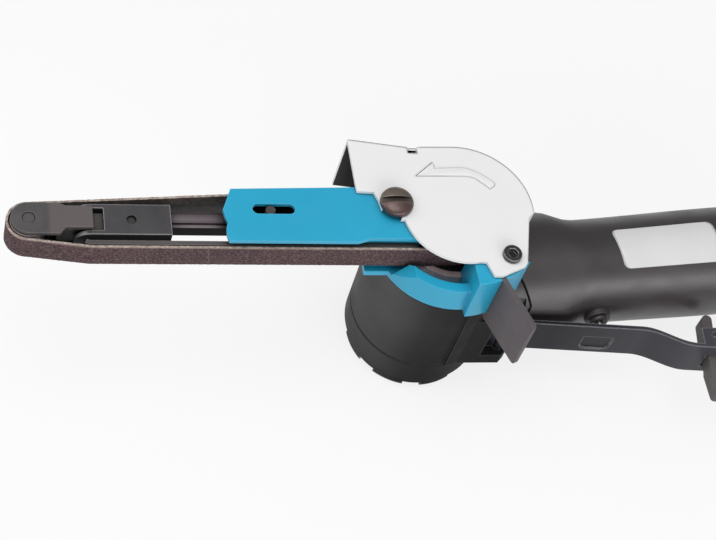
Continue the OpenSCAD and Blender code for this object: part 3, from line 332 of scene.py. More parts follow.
def barrel_painted_shade(t, tone):
    """Painted light and shade: the barrel is pale on its lit left, darkens to its shaded right and foot, and is
    dark along its seam.
    """
    across = [(0.0, 2.9), (0.12, 2.4), (0.25, 1.65), (0.4, 0.9), (0.58, 0.62), (1.0, 0.5)]
    upward = [(0.1, 0.72), (0.9, 1.05)]
    seam_shade = [(0.0, 1), (0.35, 0.45), (0.6, 0.45), (1.0, 1)]
    # Painted light on the left and painted shade to the right, at the foot and along the seam
    tone = times(t, tone, ramp(t, along_axis(t, "X", *BARREL_X), across))
    tone = times(t, tone, ramp(t, along_axis(t, "Z", *BARREL_Z), upward))
    return times(t, tone, ramp(t, along_axis(t, "Z", SEAM_Z - SEAM_HALF, SEAM_Z + SEAM_HALF), seam_shade))


def cap_tones(t, tone):
    """The cap takes the barrel's painted light and shade, and a painted highlight brightens its foot."""
    foot = ramp(t, along_axis(t, "Z", *CAP_FOOT_HIGHLIGHT_Z), [(0.1, 0), (0.3, 0.8), (0.6, 0.8), (1.0, 0)])
    return mix(t, foot, barrel_painted_shade(t, tone), (0.21, 0.21, 0.213))


def grip_tones(t, tone):
    """The grip is darker on top, with painted shade, and darker in front of its joint."""
    # Painted shade on the faces that look up
    tone = mix(t, facing(t, (0, 0.25, 0.97), 0.55, 0.95), tone, (0.026, 0.021, 0.023))
    way = vector(t, "DOT_PRODUCT", coords(t), (ALONG.x, ALONG.y + JOINT_SLANT, 0))
    behind = span(t, way, (JOINT_AT - JOINT_HALF) * MM, (JOINT_AT + JOINT_HALF) * MM)
    return times(t, tone, ramp(t, behind, [(0.0, 0.35), (1.0, 1)]))


def lever_tones(t, tone):
    """The lever is lighter towards its rear."""
    return mix(t, along_axis(t, "X", *LEVER_X), tone, (0.075, 0.073, 0.085))


def screw_light_and_shade(t, tone):
    """Painted light and shade: the latch screw is lighter on its back half, and redder and darker on its front
    half.
    """
    # Painted light on the back half and painted shade on the front half
    half = ramp(t, along_axis(t, "Y", LATCH_Y - LATCH_R, LATCH_Y + LATCH_R),
                [(0.3, (0.80, 0.63, 0.66)), (0.6, (1.30, 1.36, 1.30))])
    return times(t, tone, half)


def bar_light_and_shade(t, tone):
    """Painted light and shade: the bar is bright along its middle, and black with painted shade at its far edge
    and on its front side.
    """
    light_and_shade_band = [(0.17, 1.6), (0.24, 0.5), (0.32, 0.9), (0.5, 1.2), (0.8, 0.75), (0.98, 0.15)]
    tone = times(t, tone, ramp(t, along_axis(t, "Y", *BAR_Y), light_and_shade_band))
    # Painted shade makes the front side black
    return mix(t, facing(t, (0, -1, 0), 0.5, 0.8), tone, (0.0005, 0.0004, 0.0004))


# Kinds of material
def drift(colour, spread):
    """A colour made darker and lighter by a share."""
    return tuple(c * (1 - spread) for c in colour), tuple(min(1, c * (1 + spread)) for c in colour)


def coated(name, colour, rough, spread, mottle, grain, bump, metallic=0.0, spec=0.5, coat=0.0, edge_wear_and_highlight=None,
           edge_amount=0.6, edge_width=0.45, edge_mask=edges, gap_shade=None, change=None, dull=None,
           stretch=None, soft=0.0, base_normal=None):
    """Paint, coating or cast skin: colour drift, uneven gloss, fine skin, edges that are worn and carry a painted
    highlight, and painted shade in gaps.

    mottle and grain are noise scales. change alters the tone, dull masks faces that mirror almost nothing, and
    the skin lies on base_normal or on edges rounded by soft.
    """
    m, t, b = tree_of(name)
    dark, light = drift(colour, spread)
    tone = ramp(t, noise_at(t, mottle, 4.0), [(0.3, dark), (0.7, light)])
    if change:
        tone = change(t, tone)
    # Sharp edges take a colour that is partly wear and partly a painted highlight
    if edge_wear_and_highlight:
        tone = mix(t, edge_mask(t, edge_width, edge_amount), tone, edge_wear_and_highlight)
    # Painted shade darkens corners and gaps
    if gap_shade is not None:
        tone = times(t, tone, painted_gap_shade(t, gap_shade))
    t.links.new(tone, b.inputs["Base Color"])
    gloss = [(0.3, rough * 0.88), (0.7, min(1, rough * 1.14))]
    t.links.new(ramp(t, noise_at(t, mottle * 3), gloss), b.inputs["Roughness"])
    b.inputs["Metallic"].default_value = metallic
    b.inputs["Specular IOR Level"].default_value = spec
    if dull:
        # A black metal with a dark tint mirrors almost nothing, and the level makes up for the tint elsewhere
        t.links.new(ramp(t, dull(t), [(0.0, metallic), (1.0, 1)]), b.inputs["Metallic"])
        b.inputs["Specular Tint"].default_value = (*grey(DULL_TINT), 1)
        b.inputs["Specular IOR Level"].default_value = spec / DULL_TINT
    b.inputs["Coat Weight"].default_value = coat
    b.inputs["Coat Roughness"].default_value = COAT_ROUGHNESS
    normal = base_normal(t) if base_normal else rounded(t, soft) if soft else None
    bumped(t, b, [(noise_at(t, grain, 2.0, 0.6, stretch), bump, SKIN_STRENGTH)], normal)
    return m


def brushed(name, colour, rough, stretch, scratch):
    """Drawn or turned metal: streaks along one axis."""
    m, t, b = tree_of(name)
    dark, light = drift(colour, 0.1)
    streak = noise_at(t, 900, 3.0, 0.7, stretch)
    t.links.new(ramp(t, streak, [(0.3, dark), (0.72, light)]), b.inputs["Base Color"])
    t.links.new(ramp(t, streak, [(0.3, rough * 0.8), (0.7, rough * 1.25)]), b.inputs["Roughness"])
    b.inputs["Metallic"].default_value = 1.0
    bumped(t, b, [(streak, 0.01, scratch)])
    return m


def abrasive():
    """Brown grain in resin: fine specks, clumps, and a tan rub along the upper edge."""
    m, t, b = tree_of("abrasive_grain")
    cells = add(t, "ShaderNodeTexVoronoi", Scale=3600.0)
    t.links.new(coords(t), cells.inputs["Vector"])
    shade = add(t, "ShaderNodeSeparateColor")
    t.links.new(cells.outputs["Color"], shade.inputs["Color"])
    specks = ramp(t, shade.outputs["Red"], [(0.0, (0.050, 0.032, 0.034)), (0.4, (0.090, 0.062, 0.065)),
                                            (0.75, (0.118, 0.084, 0.089)), (0.93, (0.165, 0.112, 0.108)),
                                            (1.0, (0.27, 0.21, 0.20))])
    clumps = ramp(t, noise_at(t, 1300, 4.0, 0.7), [(0.32, (0.52, 0.47, 0.49)), (0.66, (1.32, 1.26, 1.28))])
    patches = ramp(t, noise_at(t, 90, 4.0), [(0.3, (0.86, 0.80, 0.83)), (0.7, (1.08, 1.03, 1.02))])
    tone = times(t, times(t, specks, clumps), patches)
    near_edge = along_axis(t, "Z", BELT_Z[1] - 1.1, BELT_Z[1] - 0.1)
    rub = maths(t, "ADD", near_edge, noise_at(t, 800, 4.0, 0.7))
    tone = mix(t, ramp(t, rub, [(0.85, 0), (1.0, 0.8)]), tone, (0.30, 0.235, 0.205))
    t.links.new(tone, b.inputs["Base Color"])
    b.inputs["Roughness"].default_value = 0.85
    b.inputs["Specular IOR Level"].default_value = 0.25
    bumped(t, b, [(cells.outputs["Distance"], 0.08, 0.6), (noise_at(t, 1100), 0.14, 0.5)])
    return m


def cloth(name, colour, fleck):
    """Cloth backing: crossed threads and loose fluff."""
    m, t, b = tree_of(name)
    threads = []
    for axis in ("X", "Z"):
        w = add(t, "ShaderNodeTexWave", bands_direction=axis, Scale=1900.0, Distortion=2.0, Detail=2.0)
        t.links.new(coords(t), w.inputs["Vector"])
        threads.append(w.outputs["Fac"])
    weave = mix(t, 0.5, *threads)
    tone = mix(t, ramp(t, noise_at(t, 700, 4.0, 0.7), [(0.42, 0), (0.62, 1)]), colour, fleck)
    t.links.new(mix(t, 0.35, tone, weave, "MULTIPLY"), b.inputs["Base Color"])
    b.inputs["Roughness"].default_value = 0.92
    b.inputs["Sheen Weight"].default_value = 0.2
    bumped(t, b, [(weave, 0.06, 0.5)])
    return m


# Materials, by the names that DRESS and the pieces use
# In these materials the edge colours are wear together with a painted highlight, and the gap values set painted
# shade in corners and gaps
BLUE = (0.014, 0.362, 0.575)
ENAMEL = dict(spread=0.04, mottle=45, grain=900, bump=0.012, edge_wear_and_highlight=(0.13, 0.50, 0.70), edge_amount=0.5,
              edge_width=0.7)
CASTING = (0.036, 0.036, 0.0365)
ZINC = (0.825, 0.825, 0.828)
SHEET = dict(spread=0.012, mottle=30, grain=1600, bump=0.005, metallic=0.03, spec=0.18)
CREASE = dict(spread=0.1, mottle=200, grain=1600, bump=0.005)
LENGTHWAYS = (0.04, 1.0, 1.0)
MATERIALS = {
    "blue": coated("blue_enamel", BLUE, 0.38, **ENAMEL, coat=0.1, spec=0.4, gap_shade=0.7),
    "casing": coated("blue_casing", BLUE, 0.38, **ENAMEL, spec=0.45, gap_shade=0.5, change=casing_inside_shade,
                     dull=casing_mask),
    "cast": coated("dark_coated_casting", CASTING, 0.46, spread=0.10, mottle=50, grain=1500, bump=0.03,
                   edge_wear_and_highlight=(0.10, 0.10, 0.103), edge_amount=0.55, edge_width=0.8, soft=0.4, spec=0.02,
                   change=barrel_painted_shade),
    "cap": coated("dark_coated_cap", CASTING, 0.42, spread=0.10, mottle=50, grain=1500, bump=0.025,
                  edge_wear_and_highlight=(0.32, 0.32, 0.325), edge_amount=0.8, edge_width=0.6, spec=0.02, change=cap_tones),
    "grip": coated("soft_grip", (0.050, 0.042, 0.044), 0.40, spread=0.07, mottle=40, grain=2200, bump=0.035,
                   spec=0.85, edge_wear_and_highlight=(0.09, 0.08, 0.08), edge_amount=0.3, base_normal=round_normal,
                   change=grip_tones),
    "bush": coated("valve_guide", (0.060, 0.052, 0.055), 0.42, spread=0.1, mottle=120, grain=1500, bump=0.02,
                   spec=0.4, edge_wear_and_highlight=(0.20, 0.18, 0.18), edge_amount=0.6, edge_width=0.5),
    "silver": coated("zinc_sheet", ZINC, 0.46, **SHEET, stretch=(0.15, 1.0, 1.0), change=guard_painted_shade),
    "pressing": coated("zinc_pressing", ZINC, 0.46, **SHEET),
    "crease_shade": coated("press_crease_shade", (0.46, 0.46, 0.465), 0.5, **CREASE),
    "deep_crease_shade": coated("deep_crease_shade", (0.13, 0.13, 0.13), 0.5, **CREASE),
    "lever": coated("lever_paint", (0.009, 0.008, 0.013), 0.34, spread=0.10, mottle=55, grain=1100, bump=0.014,
                    spec=0.12, edge_wear_and_highlight=(0.40, 0.39, 0.40), edge_amount=1.0, edge_width=0.8, change=lever_tones),
    "shield": coated("shield_paint", (0.098, 0.085, 0.092), 0.52, spread=0.08, mottle=60, grain=1900, bump=0.02,
                     spec=0.3, edge_wear_and_highlight=(0.17, 0.16, 0.16), edge_amount=0.4, edge_width=0.5),
    "black": coated("blackened_sheet", (0.056, 0.053, 0.057), 0.44, spread=0.2, mottle=90, grain=1300, bump=0.018,
                    spec=0.4, metallic=0.1, edge_wear_and_highlight=(0.34, 0.33, 0.33), edge_amount=0.9, edge_width=0.55,
                    edge_mask=channel_edges, gap_shade=0.06),
    "yoke": coated("blackened_yoke", (0.072, 0.068, 0.070), 0.46, spread=0.2, mottle=110, grain=1300, bump=0.02,
                   spec=0.4, metallic=0.1, edge_wear_and_highlight=(0.19, 0.17, 0.165), edge_amount=0.7, edge_width=0.7,
                   gap_shade=0.10, change=yoke_tones),
    "screw": coated("bronzed_screw", (0.132, 0.104, 0.090), 0.34, spread=0.25, mottle=160, grain=1500, bump=0.012,
                    metallic=0.4, edge_wear_and_highlight=(0.30, 0.25, 0.23), edge_amount=0.6, edge_width=0.6, gap_shade=0.2,
                    change=screw_light_and_shade),
    "dark_screw": coated("black_screw", (0.075, 0.074, 0.077), 0.22, spread=0.2, mottle=160, grain=1500,
                         bump=0.012, metallic=0.8, edge_wear_and_highlight=(0.75, 0.75, 0.76), edge_amount=0.9, edge_width=0.8,
                         gap_shade=0.15),
    "rod": coated("bar_with_painted_shade", (0.140, 0.117, 0.127), 0.40, spread=0.12, mottle=70, grain=1100, bump=0.012,
                  spec=0.06, edge_wear_and_highlight=(0.20, 0.17, 0.18), edge_amount=0.6, edge_width=0.5, gap_shade=0.06,
                  stretch=LENGTHWAYS, change=bar_light_and_shade),
    "strip": coated("spring_strip", (0.088, 0.076, 0.076), 0.38, spread=0.12, mottle=70, grain=1100, bump=0.01,
                    spec=0.3, edge_wear_and_highlight=(0.24, 0.22, 0.22), edge_amount=0.7, edge_width=0.5, gap_shade=0.25,
                    stretch=LENGTHWAYS),
    # The wheel's colour is paler than its own, a painted light that lifts it where the guard shades it
    "wheel": coated("turned_wheel", (0.30, 0.235, 0.225), 0.36, spread=0.14, mottle=160, grain=900, bump=0.02,
                    metallic=0.2, edge_wear_and_highlight=(0.55, 0.48, 0.46), edge_amount=0.7, edge_width=0.7,
                    stretch=(0.1, 0.1, 1.0)),
    # The ring's colour is paler than its own, a painted light that lifts it where the belt shades it
    "ring": coated("ring_steel", (0.74, 0.575, 0.545), 0.36, spread=0.2, mottle=200, grain=900, bump=0.02,
                   metallic=0.1, edge_wear_and_highlight=(0.55, 0.48, 0.46), edge_amount=0.7, edge_width=0.7),
    "steel": brushed("plain_steel", (0.58, 0.58, 0.59), 0.28, (1.0, 1.0, 0.15), 0.2),
    "fitting": coated("plated_fitting", (0.36, 0.36, 0.365), 0.40, spread=0.06, mottle=70, grain=2400, bump=0.006,
                      metallic=1.0, edge_wear_and_highlight=(0.62, 0.62, 0.63), edge_amount=0.6, edge_width=0.8),
    "spring": brushed("spring_wire", (0.34, 0.33, 0.33), 0.32, (1.0, 1.0, 0.3), 0.2),
    "brass": brushed("turned_bronze", (0.50, 0.35, 0.16), 0.32, (1.0, 1.0, 0.15), 0.25),
    "vane": coated("laminated_vane", (0.20, 0.12, 0.055), 0.6, spread=0.2, mottle=200, grain=1200, bump=0.03),
    "rubber": coated("black_rubber", (0.020, 0.020, 0.021), 0.62, spread=0.2, mottle=120, grain=1700, bump=0.03),
    "lip": coated("joint_lip", (0.010, 0.008, 0.008), 0.8, spread=0.2, mottle=120, grain=1700, bump=0.02,
                  spec=0.08),
    "tab": coated("tab_paint", (0.110, 0.097, 0.096), 0.50, spread=0.1, mottle=80, grain=1700, bump=0.02, spec=0.3,
                  edge_wear_and_highlight=(0.24, 0.22, 0.215), edge_amount=0.6, edge_width=0.6),
    "plate": coated("blank_plate", (0.70, 0.70, 0.695), 0.34, spread=0.025, mottle=60, grain=1400, bump=0.004,
                    coat=0.2, edge_wear_and_highlight=(0.40, 0.40, 0.40), edge_amount=0.6, edge_width=0.3),
    "grit": abrasive(),
    "fray": cloth("frayed_edge", (0.34, 0.265, 0.23), (0.66, 0.56, 0.49)),
    "backing": cloth("cloth_backing", (0.020, 0.014, 0.013), (0.058, 0.042, 0.038)),
    "splice": coated("splice_line", (0.130, 0.098, 0.098), 0.85, spread=0.25, mottle=700, grain=2400, bump=0.05),
}

# Material of each CAD node
DRESS = {
    "motor_housing": "cast", "end_cap": "cap", "handle_grip": "grip", "rear_end_plate": "steel",
    "front_end_plate": "steel", "motor_cylinder": "steel", "rear_bearing": "steel", "front_bearing": "steel",
    "lock_ring": "ring", "lever_pivot_pin": "dark_screw", "valve_bushing": "bush", "valve_spring": "spring",
    "inlet_bushing": "fitting", "inlet_screen": "steel", "rotor_shaft": "steel", "rotor_vanes": "vane",
    "drive_wheel": "wheel", "wheel_nut": "steel", "arm_base": "blue", "arm_casing": "casing", "rod_bush": "black",
    "platen": "strip", "platen_rivets": "steel", "tension_spring": "spring", "latch_screw": "screw",
    "guard_pivot_screw": "dark_screw", "spark_shield": "shield", "shield_rivets": "shield", "tension_rod": "rod",
    "carriage_channel": "black", "idler_yoke": "yoke", "yoke_pin": "black", "idler_axle": "yoke",
    "guide_pin": "bush", "idler_pulley": "wheel", "idler_bush": "brass", "belt_guard": "silver",
    "throttle_lever": "lever", "lock_pin": "dark_screw", "lock_spring": "spring", "lock_tab": "tab",
    "valve_stem": "steel", "valve_seal": "rubber", "sanding_belt": "grit",
}
# Width of the rounding on a node's edges
ROUND = {
    "end_cap": 0.35, "arm_base": 0.5, "arm_casing": 0.35, "belt_guard": 0.3,
    "throttle_lever": 0.35, "spark_shield": 0.35, "carriage_channel": 0.35, "idler_yoke": 0.3, "latch_screw": 0.3,
    "guard_pivot_screw": 0.3, "lock_tab": 0.5, "inlet_bushing": 0.6, "platen": 0.2, "lock_ring": 0.3,
    "valve_bushing": 0.3, "drive_wheel": 0.3, "valve_stem": 0.3, "wheel_nut": 0.3, "lock_pin": 0.3,
    "rod_bush": 0.3, "idler_axle": 0.3, "guide_pin": 0.3, "lever_pivot_pin": 0.3, "tension_rod": 0.25,
    "yoke_pin": 0.2,
}


def round_edges(obj, width):
    """Modifiers that round the sharp edges of a CAD solid."""
    weld = obj.modifiers.new("weld", "WELD")
    weld.merge_threshold = 1e-6
    flat = obj.modifiers.new("flat", "DECIMATE")
    flat.decimate_type = "DISSOLVE"
    flat.angle_limit = math.radians(1.0)
    bevel = obj.modifiers.new("round", "BEVEL")
    bevel.width = width * MM
    bevel.segments = 2
    bevel.limit_method = "ANGLE"
    bevel.angle_limit = math.radians(32)
    bevel.harden_normals = True
    even = obj.modifiers.new("even", "WEIGHTED_NORMAL")
    even.keep_sharp = False


for node_name, node in nodes.items():
    node.data.materials.clear()
    node.data.materials.append(MATERIALS[DRESS[node_name]])
    if node_name in ROUND:
        round_edges(node, ROUND[node_name])


# Meshes
def piece(name, verts, faces, keys, body, smooth=True):
    """A new piece that rides on a body; keys are the names of its materials."""
    me = bpy.data.meshes.new(name)
    me.from_pydata([Vector(v) * MM for v in verts], [], faces)
    me.validate()
    bm = bmesh.new()
    bm.from_mesh(me)
    bmesh.ops.recalc_face_normals(bm, faces=bm.faces)
    bm.to_mesh(me)
    bm.free()
    for p in me.polygons:
        p.use_smooth = smooth
    obj = bpy.data.objects.new(name, me)
    scene.collection.objects.link(obj)
    for key in keys:
        me.materials.append(MATERIALS[key])
    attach(obj, body)
    return obj


def tube_faces(base, rings, sides):
    """Faces of a tube, closed at both ends, whose rings of vertices start at a base."""
    faces = []
    for i in range(rings - 1):
        for k in range(sides):
            a, b = base + i * sides + k, base + i * sides + (k + 1) % sides
            faces.append((a, b, b + sides, a + sides))
    last = base + (rings - 1) * sides
    return faces + [tuple(range(base, base + sides)), tuple(range(last, last + sides))]


def tube_mesh(paths, radius, sides, up):
    """Vertices and faces of round wires along lists of points.

    radius gives the wire's radius at a share of its length, and up lies across the paths.
    """
    verts, faces = [], []
    for path in paths:
        base, end = len(verts), len(path) - 1
        for i, p in enumerate(path):
            d = (path[min(i + 1, end)] - path[max(i - 1, 0)]).normalized()
            side = d.cross(up).normalized()
            other = side.cross(d).normalized()
            for k in range(sides):
                a = 2 * math.pi * k / sides
                verts.append(p + radius(i / end) * (math.cos(a) * side + math.sin(a) * other))
        faces += tube_faces(base, len(path), sides)
    return verts, faces


def coil_mesh(start, along, turns, radius, wire, rise, sides=8, per_turn=32):
    """Vertices and faces of a wire wound round a line.

    rise gives its way along the line at a turn, and wire its own radius at a share of its length.
    """
    a = along.normalized()
    e1 = a.orthogonal().normalized()
    e2 = a.cross(e1)
    steps = int(turns * per_turn)
    verts = []
    for i in range(steps + 1):
        turn = turns * i / steps
        out = e1 * math.cos(2 * math.pi * turn) + e2 * math.sin(2 * math.pi * turn)
        middle = start + a * rise(turn) + out * radius
        for k in range(sides):
            b = 2 * math.pi * k / sides
            verts.append(middle + (out * math.cos(b) + a * math.sin(b)) * wire(i / steps))
    return verts, tube_faces(0, steps + 1, sides)


# Belt
def tangent_normal(c1, r1, c2, r2):
    """Normal of the straight run between two circles, on its outer side."""
    d = Vector(c2) - Vector(c1)
    u = d.normalized()
    k = (r1 - r2) / d.length
    return u * k + Vector((-u.y, u.x)) * math.sqrt(1 - k * k)


def belt_path(step):
    """Points and outward normals of the belt's back, in the sense of the source's outline."""
    circles = [WHEEL, NOSE, IDLER]
    normal = [tangent_normal(*circles[i], *circles[(i + 1) % 3]) for i in range(3)]
    out = []
    for i, (c, r) in enumerate(circles):
        n_in, n_out = normal[i - 1], normal[i]
        a0, a1 = math.atan2(n_in.y, n_in.x), math.atan2(n_out.y, n_out.x)
        if a1 > a0:
            a1 -= 2 * math.pi
        count = max(6, int((a0 - a1) * r / step))
        for k in range(count + 1):
            a = a0 + (a1 - a0) * k / count
            n = Vector((math.cos(a), math.sin(a)))
            out.append((Vector(c) + n * r, n))
        c2, r2 = circles[(i + 1) % 3]
        start, end = out[-1][0], Vector(c2) + n_out * r2
        count = int((end - start).length / step)
        for k in range(1, count):
            out.append((start.lerp(end, k / count), n_out))
    return out


def build_belt(path):
    """The belt: a grained face in rows, frayed edges, a cloth back and a slanted splice."""
    rows, thick, margin = 20, 0.8, 0.12
    grain_height, grain_scale, fray_scale = 0.07, 2.3, 0.9
    grit, fray, backing, splice = range(4)
    splice_rows = 7
    z0, z1 = BELT_Z
    ring = rows + 5
    verts, faces, mats = [], [], []
    for p, n in path:
        # Both edges wander by a tenth or two of a millimetre
        here = Vector((p.x, p.y, 0)) * fray_scale
        fray_up = 0.16 * noise.noise(here + Vector((0, 0, 31))) + 0.10 * noise.noise(here * 3.1)
        fray_low = 0.12 * noise.noise(here + Vector((0, 0, 57)))
        for k in range(rows + 1):
            z = z0 + margin + (z1 - z0 - 2 * margin) * k / rows
            if k == rows:
                z += fray_up
            if k == 0:
                z += fray_low
            spot = Vector((p.x * grain_scale, p.y * grain_scale, z * grain_scale))
            q = p + n * (BELT_T + (grain_height * noise.noise(spot) - grain_height))
            verts.append((q.x, q.y, z))
        # Upper edge, back and lower edge: the share of the thickness, and Z
        back = p + n * (BELT_T - thick)
        for share, z in ((0.45, z1 - 0.1 + fray_up), (0.0, z1 - 0.16 + fray_up * 0.6), (0.0, z0 + 0.16),
                         (0.5, z0 + 0.1)):
            q = back + n * (thick * share)
            verts.append((q.x, q.y, z))
    count = len(path)
    splice_at = min(range(count), key=lambda i: (path[i][0] - Vector(SPLICE)).length)
    for i in range(count):
        j = (i + 1) % count
        for k in range(ring):
            m = (k + 1) % ring
            faces.append((i * ring + k, i * ring + m, j * ring + m, j * ring + k))
            if k < rows:
                mats.append(splice if i == splice_at + k // splice_rows else grit)
            else:
                mats.append(backing if k == rows + 2 else fray)
    obj = piece("abrasive_belt", verts, faces, ["grit", "fray", "backing", "splice"], "arm")
    for p, m in zip(obj.data.polygons, mats):
        p.material_index = m
    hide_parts("sanding_belt")


def build_threads(path):
    """Loose threads along the belt's upper edge."""
    rnd = random.Random(11)
    share_with_thread, root_z, thread_r, arch = 0.42, BELT_Z[1] - 0.15, 0.055, 2.4
    wires = []
    for p, n in path[::2]:
        if rnd.random() < share_with_thread:
            q = p + n * rnd.uniform(BELT_T - 0.75, BELT_T - 0.15)
            t = Vector((-n.y, n.x)) * rnd.choice((-1, 1))
            reach, lift, lean = rnd.uniform(0.3, 1.3), rnd.uniform(0.02, 0.22), rnd.uniform(-0.05, 0.18)
            wires.append([(q + t * reach * f + n * lean * f).to_3d()
                          + Vector((0, 0, root_z + lift * math.sin(f * arch))) for f in (0, 0.25, 0.5, 0.75, 1)])
    v, f = tube_mesh(wires, lambda u: thread_r * (1.1 - u), 5, Vector((0, 0, 1)))
    piece("belt_edge_threads", v, f, ["fray"], "arm")


# Guard
def spline(points, steps=6):
    """A smooth line through points."""
    pts = [Vector(p) for p in points]
    out = []
    for i in range(len(pts) - 1):
        a, b, c, d = pts[max(i - 1, 0)], pts[i], pts[i + 1], pts[min(i + 2, len(pts) - 1)]
        for k in range(steps):
            u = k / steps
            out.append(0.5 * ((2 * b) + (c - a) * u + (2 * a - 5 * b + 4 * c - d) * u * u
                              + (3 * b - a - 3 * c + d) * u ** 3))
    out.append(pts[-1])
    return out


def pressed(name, pts, z, height, inset, shaded_sides, body):
    """A pressed island: a sloping rim with painted shade, darkest on the shaded sides, and a flat top, on a plane
    at z.
    """
    sunk, shoulder, mitre_limit = 0.06, (0.45, 0.8), 0.55
    n = len(pts)
    area = sum(pts[i].x * pts[(i + 1) % n].y - pts[(i + 1) % n].x * pts[i].y for i in range(n))
    sign = 1 if area > 0 else -1
    inner = []
    for i in range(n):
        a, b, c = pts[i - 1], pts[i], pts[(i + 1) % n]
        d1, d2 = (b - a).normalized(), (c - b).normalized()
        n1, n2 = Vector((-d1.y, d1.x)) * sign, Vector((-d2.y, d2.x)) * sign
        m = n1 + n2
        m = m / max(mitre_limit, m.length_squared / 2) if m.length > 1e-6 else n1
        inner.append(b + m * inset)
    slope = [a.lerp(b, shoulder[0]) for a, b in zip(pts, inner)]
    rings = [(pts, -sunk), (pts, 0.0), (slope, height * shoulder[1]), (inner, height)]
    verts = [(p.x, p.y, z + h) for r, h in rings for p in r]
    faces = [(r * n + i, r * n + (i + 1) % n, (r + 1) * n + (i + 1) % n, (r + 1) * n + i)
             for r in range(len(rings) - 1) for i in range(n)]
    faces.append(tuple(range(3 * n, 4 * n)))
    obj = piece(name, verts, faces, ["pressing", "crease_shade", "deep_crease_shade"], body)
    # The rim's faces take painted shade, darkest on the shaded sides
    for i, p in enumerate(obj.data.polygons[:-1]):
        p.material_index = 2 if i % n in shaded_sides else 1


def build_arrow():
    """Arrow pressed into the guard, which shows the belt's run; painted shade makes its first side darkest."""
    upper = spline([(-7.2, 15.2), (-2.0, 15.5), (3.1, 15.5), (8.0, 13.4), (12.3, 9.9)])
    lower = spline([(10.2, 7.1), (7.6, 9.6), (4.2, 11.7), (-4.0, 11.9), (-13.6, 11.7)])
    head = [Vector((-14.2, 11.9)), Vector((-7.6, 17.6)), Vector((-7.0, 16.6))]
    outline = head + upper + [Vector((12.1, 8.6))] + lower
    pressed("guard_run_arrow", outline, GUARD_Z[1], height=0.3, inset=0.36, shaded_sides=(0,), body="guard")


def build_notch_tab():
    """Short end of the skirt that stands inside the guard's notch."""
    x0, x1, y0, y1, z0, z1 = -15.6, -11.6, 22.9, 23.8, 70.0, GUARD_Z[0] - 0.3
    corners = [(x, y, z) for z in (z0, z1) for x, y in ((x0, y0), (x1, y0), (x1, y1), (x0, y1))]
    faces = [(0, 1, 2, 3), (4, 5, 6, 7)] + [(i, (i + 1) % 4, 4 + (i + 1) % 4, 4 + i) for i in range(4)]
    piece("guard_notch_tab", corners, faces, ["silver"], "guard", smooth=False)


# Handle
def grip_radius(s):
    """Radius of the grip at a place along the handle."""
    (s0, r0), (s1, r1) = GRIP_WAIST, GRIP_SWELL
    u = min(1, max(0, (s - s0) / (s1 - s0)))
    return r0 + (r1 - r0) * (1 - math.cos(math.pi * u)) / 2


def round_handle(s, angle, radius):
    """Point round the handle's axis; the angle goes from the top towards the lever, in degrees."""
    a = math.radians(angle)
    return ALONG * s + SIDE * (radius * math.sin(a)) + Vector((0, 0, HANDLE_Z + radius * math.cos(a)))


def build_plate():
    """A thin blank plate with round corners and slanted ends, bent over the grip."""
    s0, s1, a0, a1, corner, lift, sunk, end_slant = 62.3, 99.5, -17.0, 30.5, 2.2, 0.14, 0.05, 2.0
    cols, rows = 30, 24
    width = math.radians(a1 - a0) * GRIP_SWELL[1]
    rings = []
    for j in range(rows + 1):
        v = width * (1 - math.cos(math.pi * j / rows)) / 2
        near = min(v, width - v, corner)
        trim = corner - math.sqrt(corner ** 2 - (corner - near) ** 2)
        slant = end_slant * v / width
        rings.append((v / width, s0 + trim + slant, s1 - trim + slant))
    verts, faces = [], []
    for level in (lift, -sunk):
        for share, start, end in rings:
            for i in range(cols + 1):
                s = start + (end - start) * i / cols
                verts.append(round_handle(s, a0 + (a1 - a0) * share, grip_radius(s) + level))
    step = cols + 1
    low = step * (rows + 1)
    for j in range(rows):
        for i in range(cols):
            a = j * step + i
            faces.append((a, a + 1, a + step + 1, a + step))
            faces.append((low + a, low + a + step, low + a + step + 1, low + a + 1))
    rim = list(range(step)) + [j * step + cols for j in range(1, rows + 1)]
    rim += [rows * step + i for i in range(cols - 1, -1, -1)] + [j * step for j in range(rows - 1, 0, -1)]
    for k, a in enumerate(rim):
        b = rim[(k + 1) % len(rim)]
        faces.append((a, low + a, low + b, b))
    piece("blank_plate", verts, faces, ["plate"], "body")


def build_joint_lip():
    """Dark lip in the joint between neck and grip, laid on the grip's surface by rays towards its axis."""
    outer, inner, least_r, lip_r = 40.0, 8.0, 15, 0.4
    mesh = nodes["handle_grip"].data
    tree = BVHTree.FromPolygons([v.co for v in mesh.vertices], [tuple(p.vertices) for p in mesh.polygons])
    path = []
    for angle in range(3, 180, 3):
        ends = []
        for radius in (outer, inner):
            out = round_handle(0, angle, radius)
            s = (JOINT_AT - JOINT_SLANT * out.y) / (1 + JOINT_SLANT * ALONG.y)
            ends.append((out + ALONG * s) * MM)
        hit = tree.ray_cast(ends[0], (ends[1] - ends[0]).normalized())[0]
        if hit and (hit / MM - ALONG * ALONG.dot(hit / MM) - Vector((0, 0, HANDLE_Z))).length > least_r:
            path.append(hit / MM)
    v, f = tube_mesh([path], lambda u: lip_r, 8, ALONG)
    piece("grip_joint_lip", v, f, ["lip"], "body")


def build_thread():
    """Thread ridge in the inlet, fading out at both ends."""
    pitch, ridge, sunk, first, plain, tip, fade = INLET["pitch"], 0.32, 0.1, 0.9, 2.0, 0.2, 12
    v, f = coil_mesh(round_handle(INLET["mouth"] - first, 0, 0), -ALONG, (INLET["depth"] - plain) / pitch,
                     INLET["radius"] + sunk, lambda u: ridge * min(1, fade * u + tip, fade * (1 - u) + tip),
                     lambda turn: pitch * turn, sides=6)
    piece("inlet_thread", v, f, ["fitting"], "body")


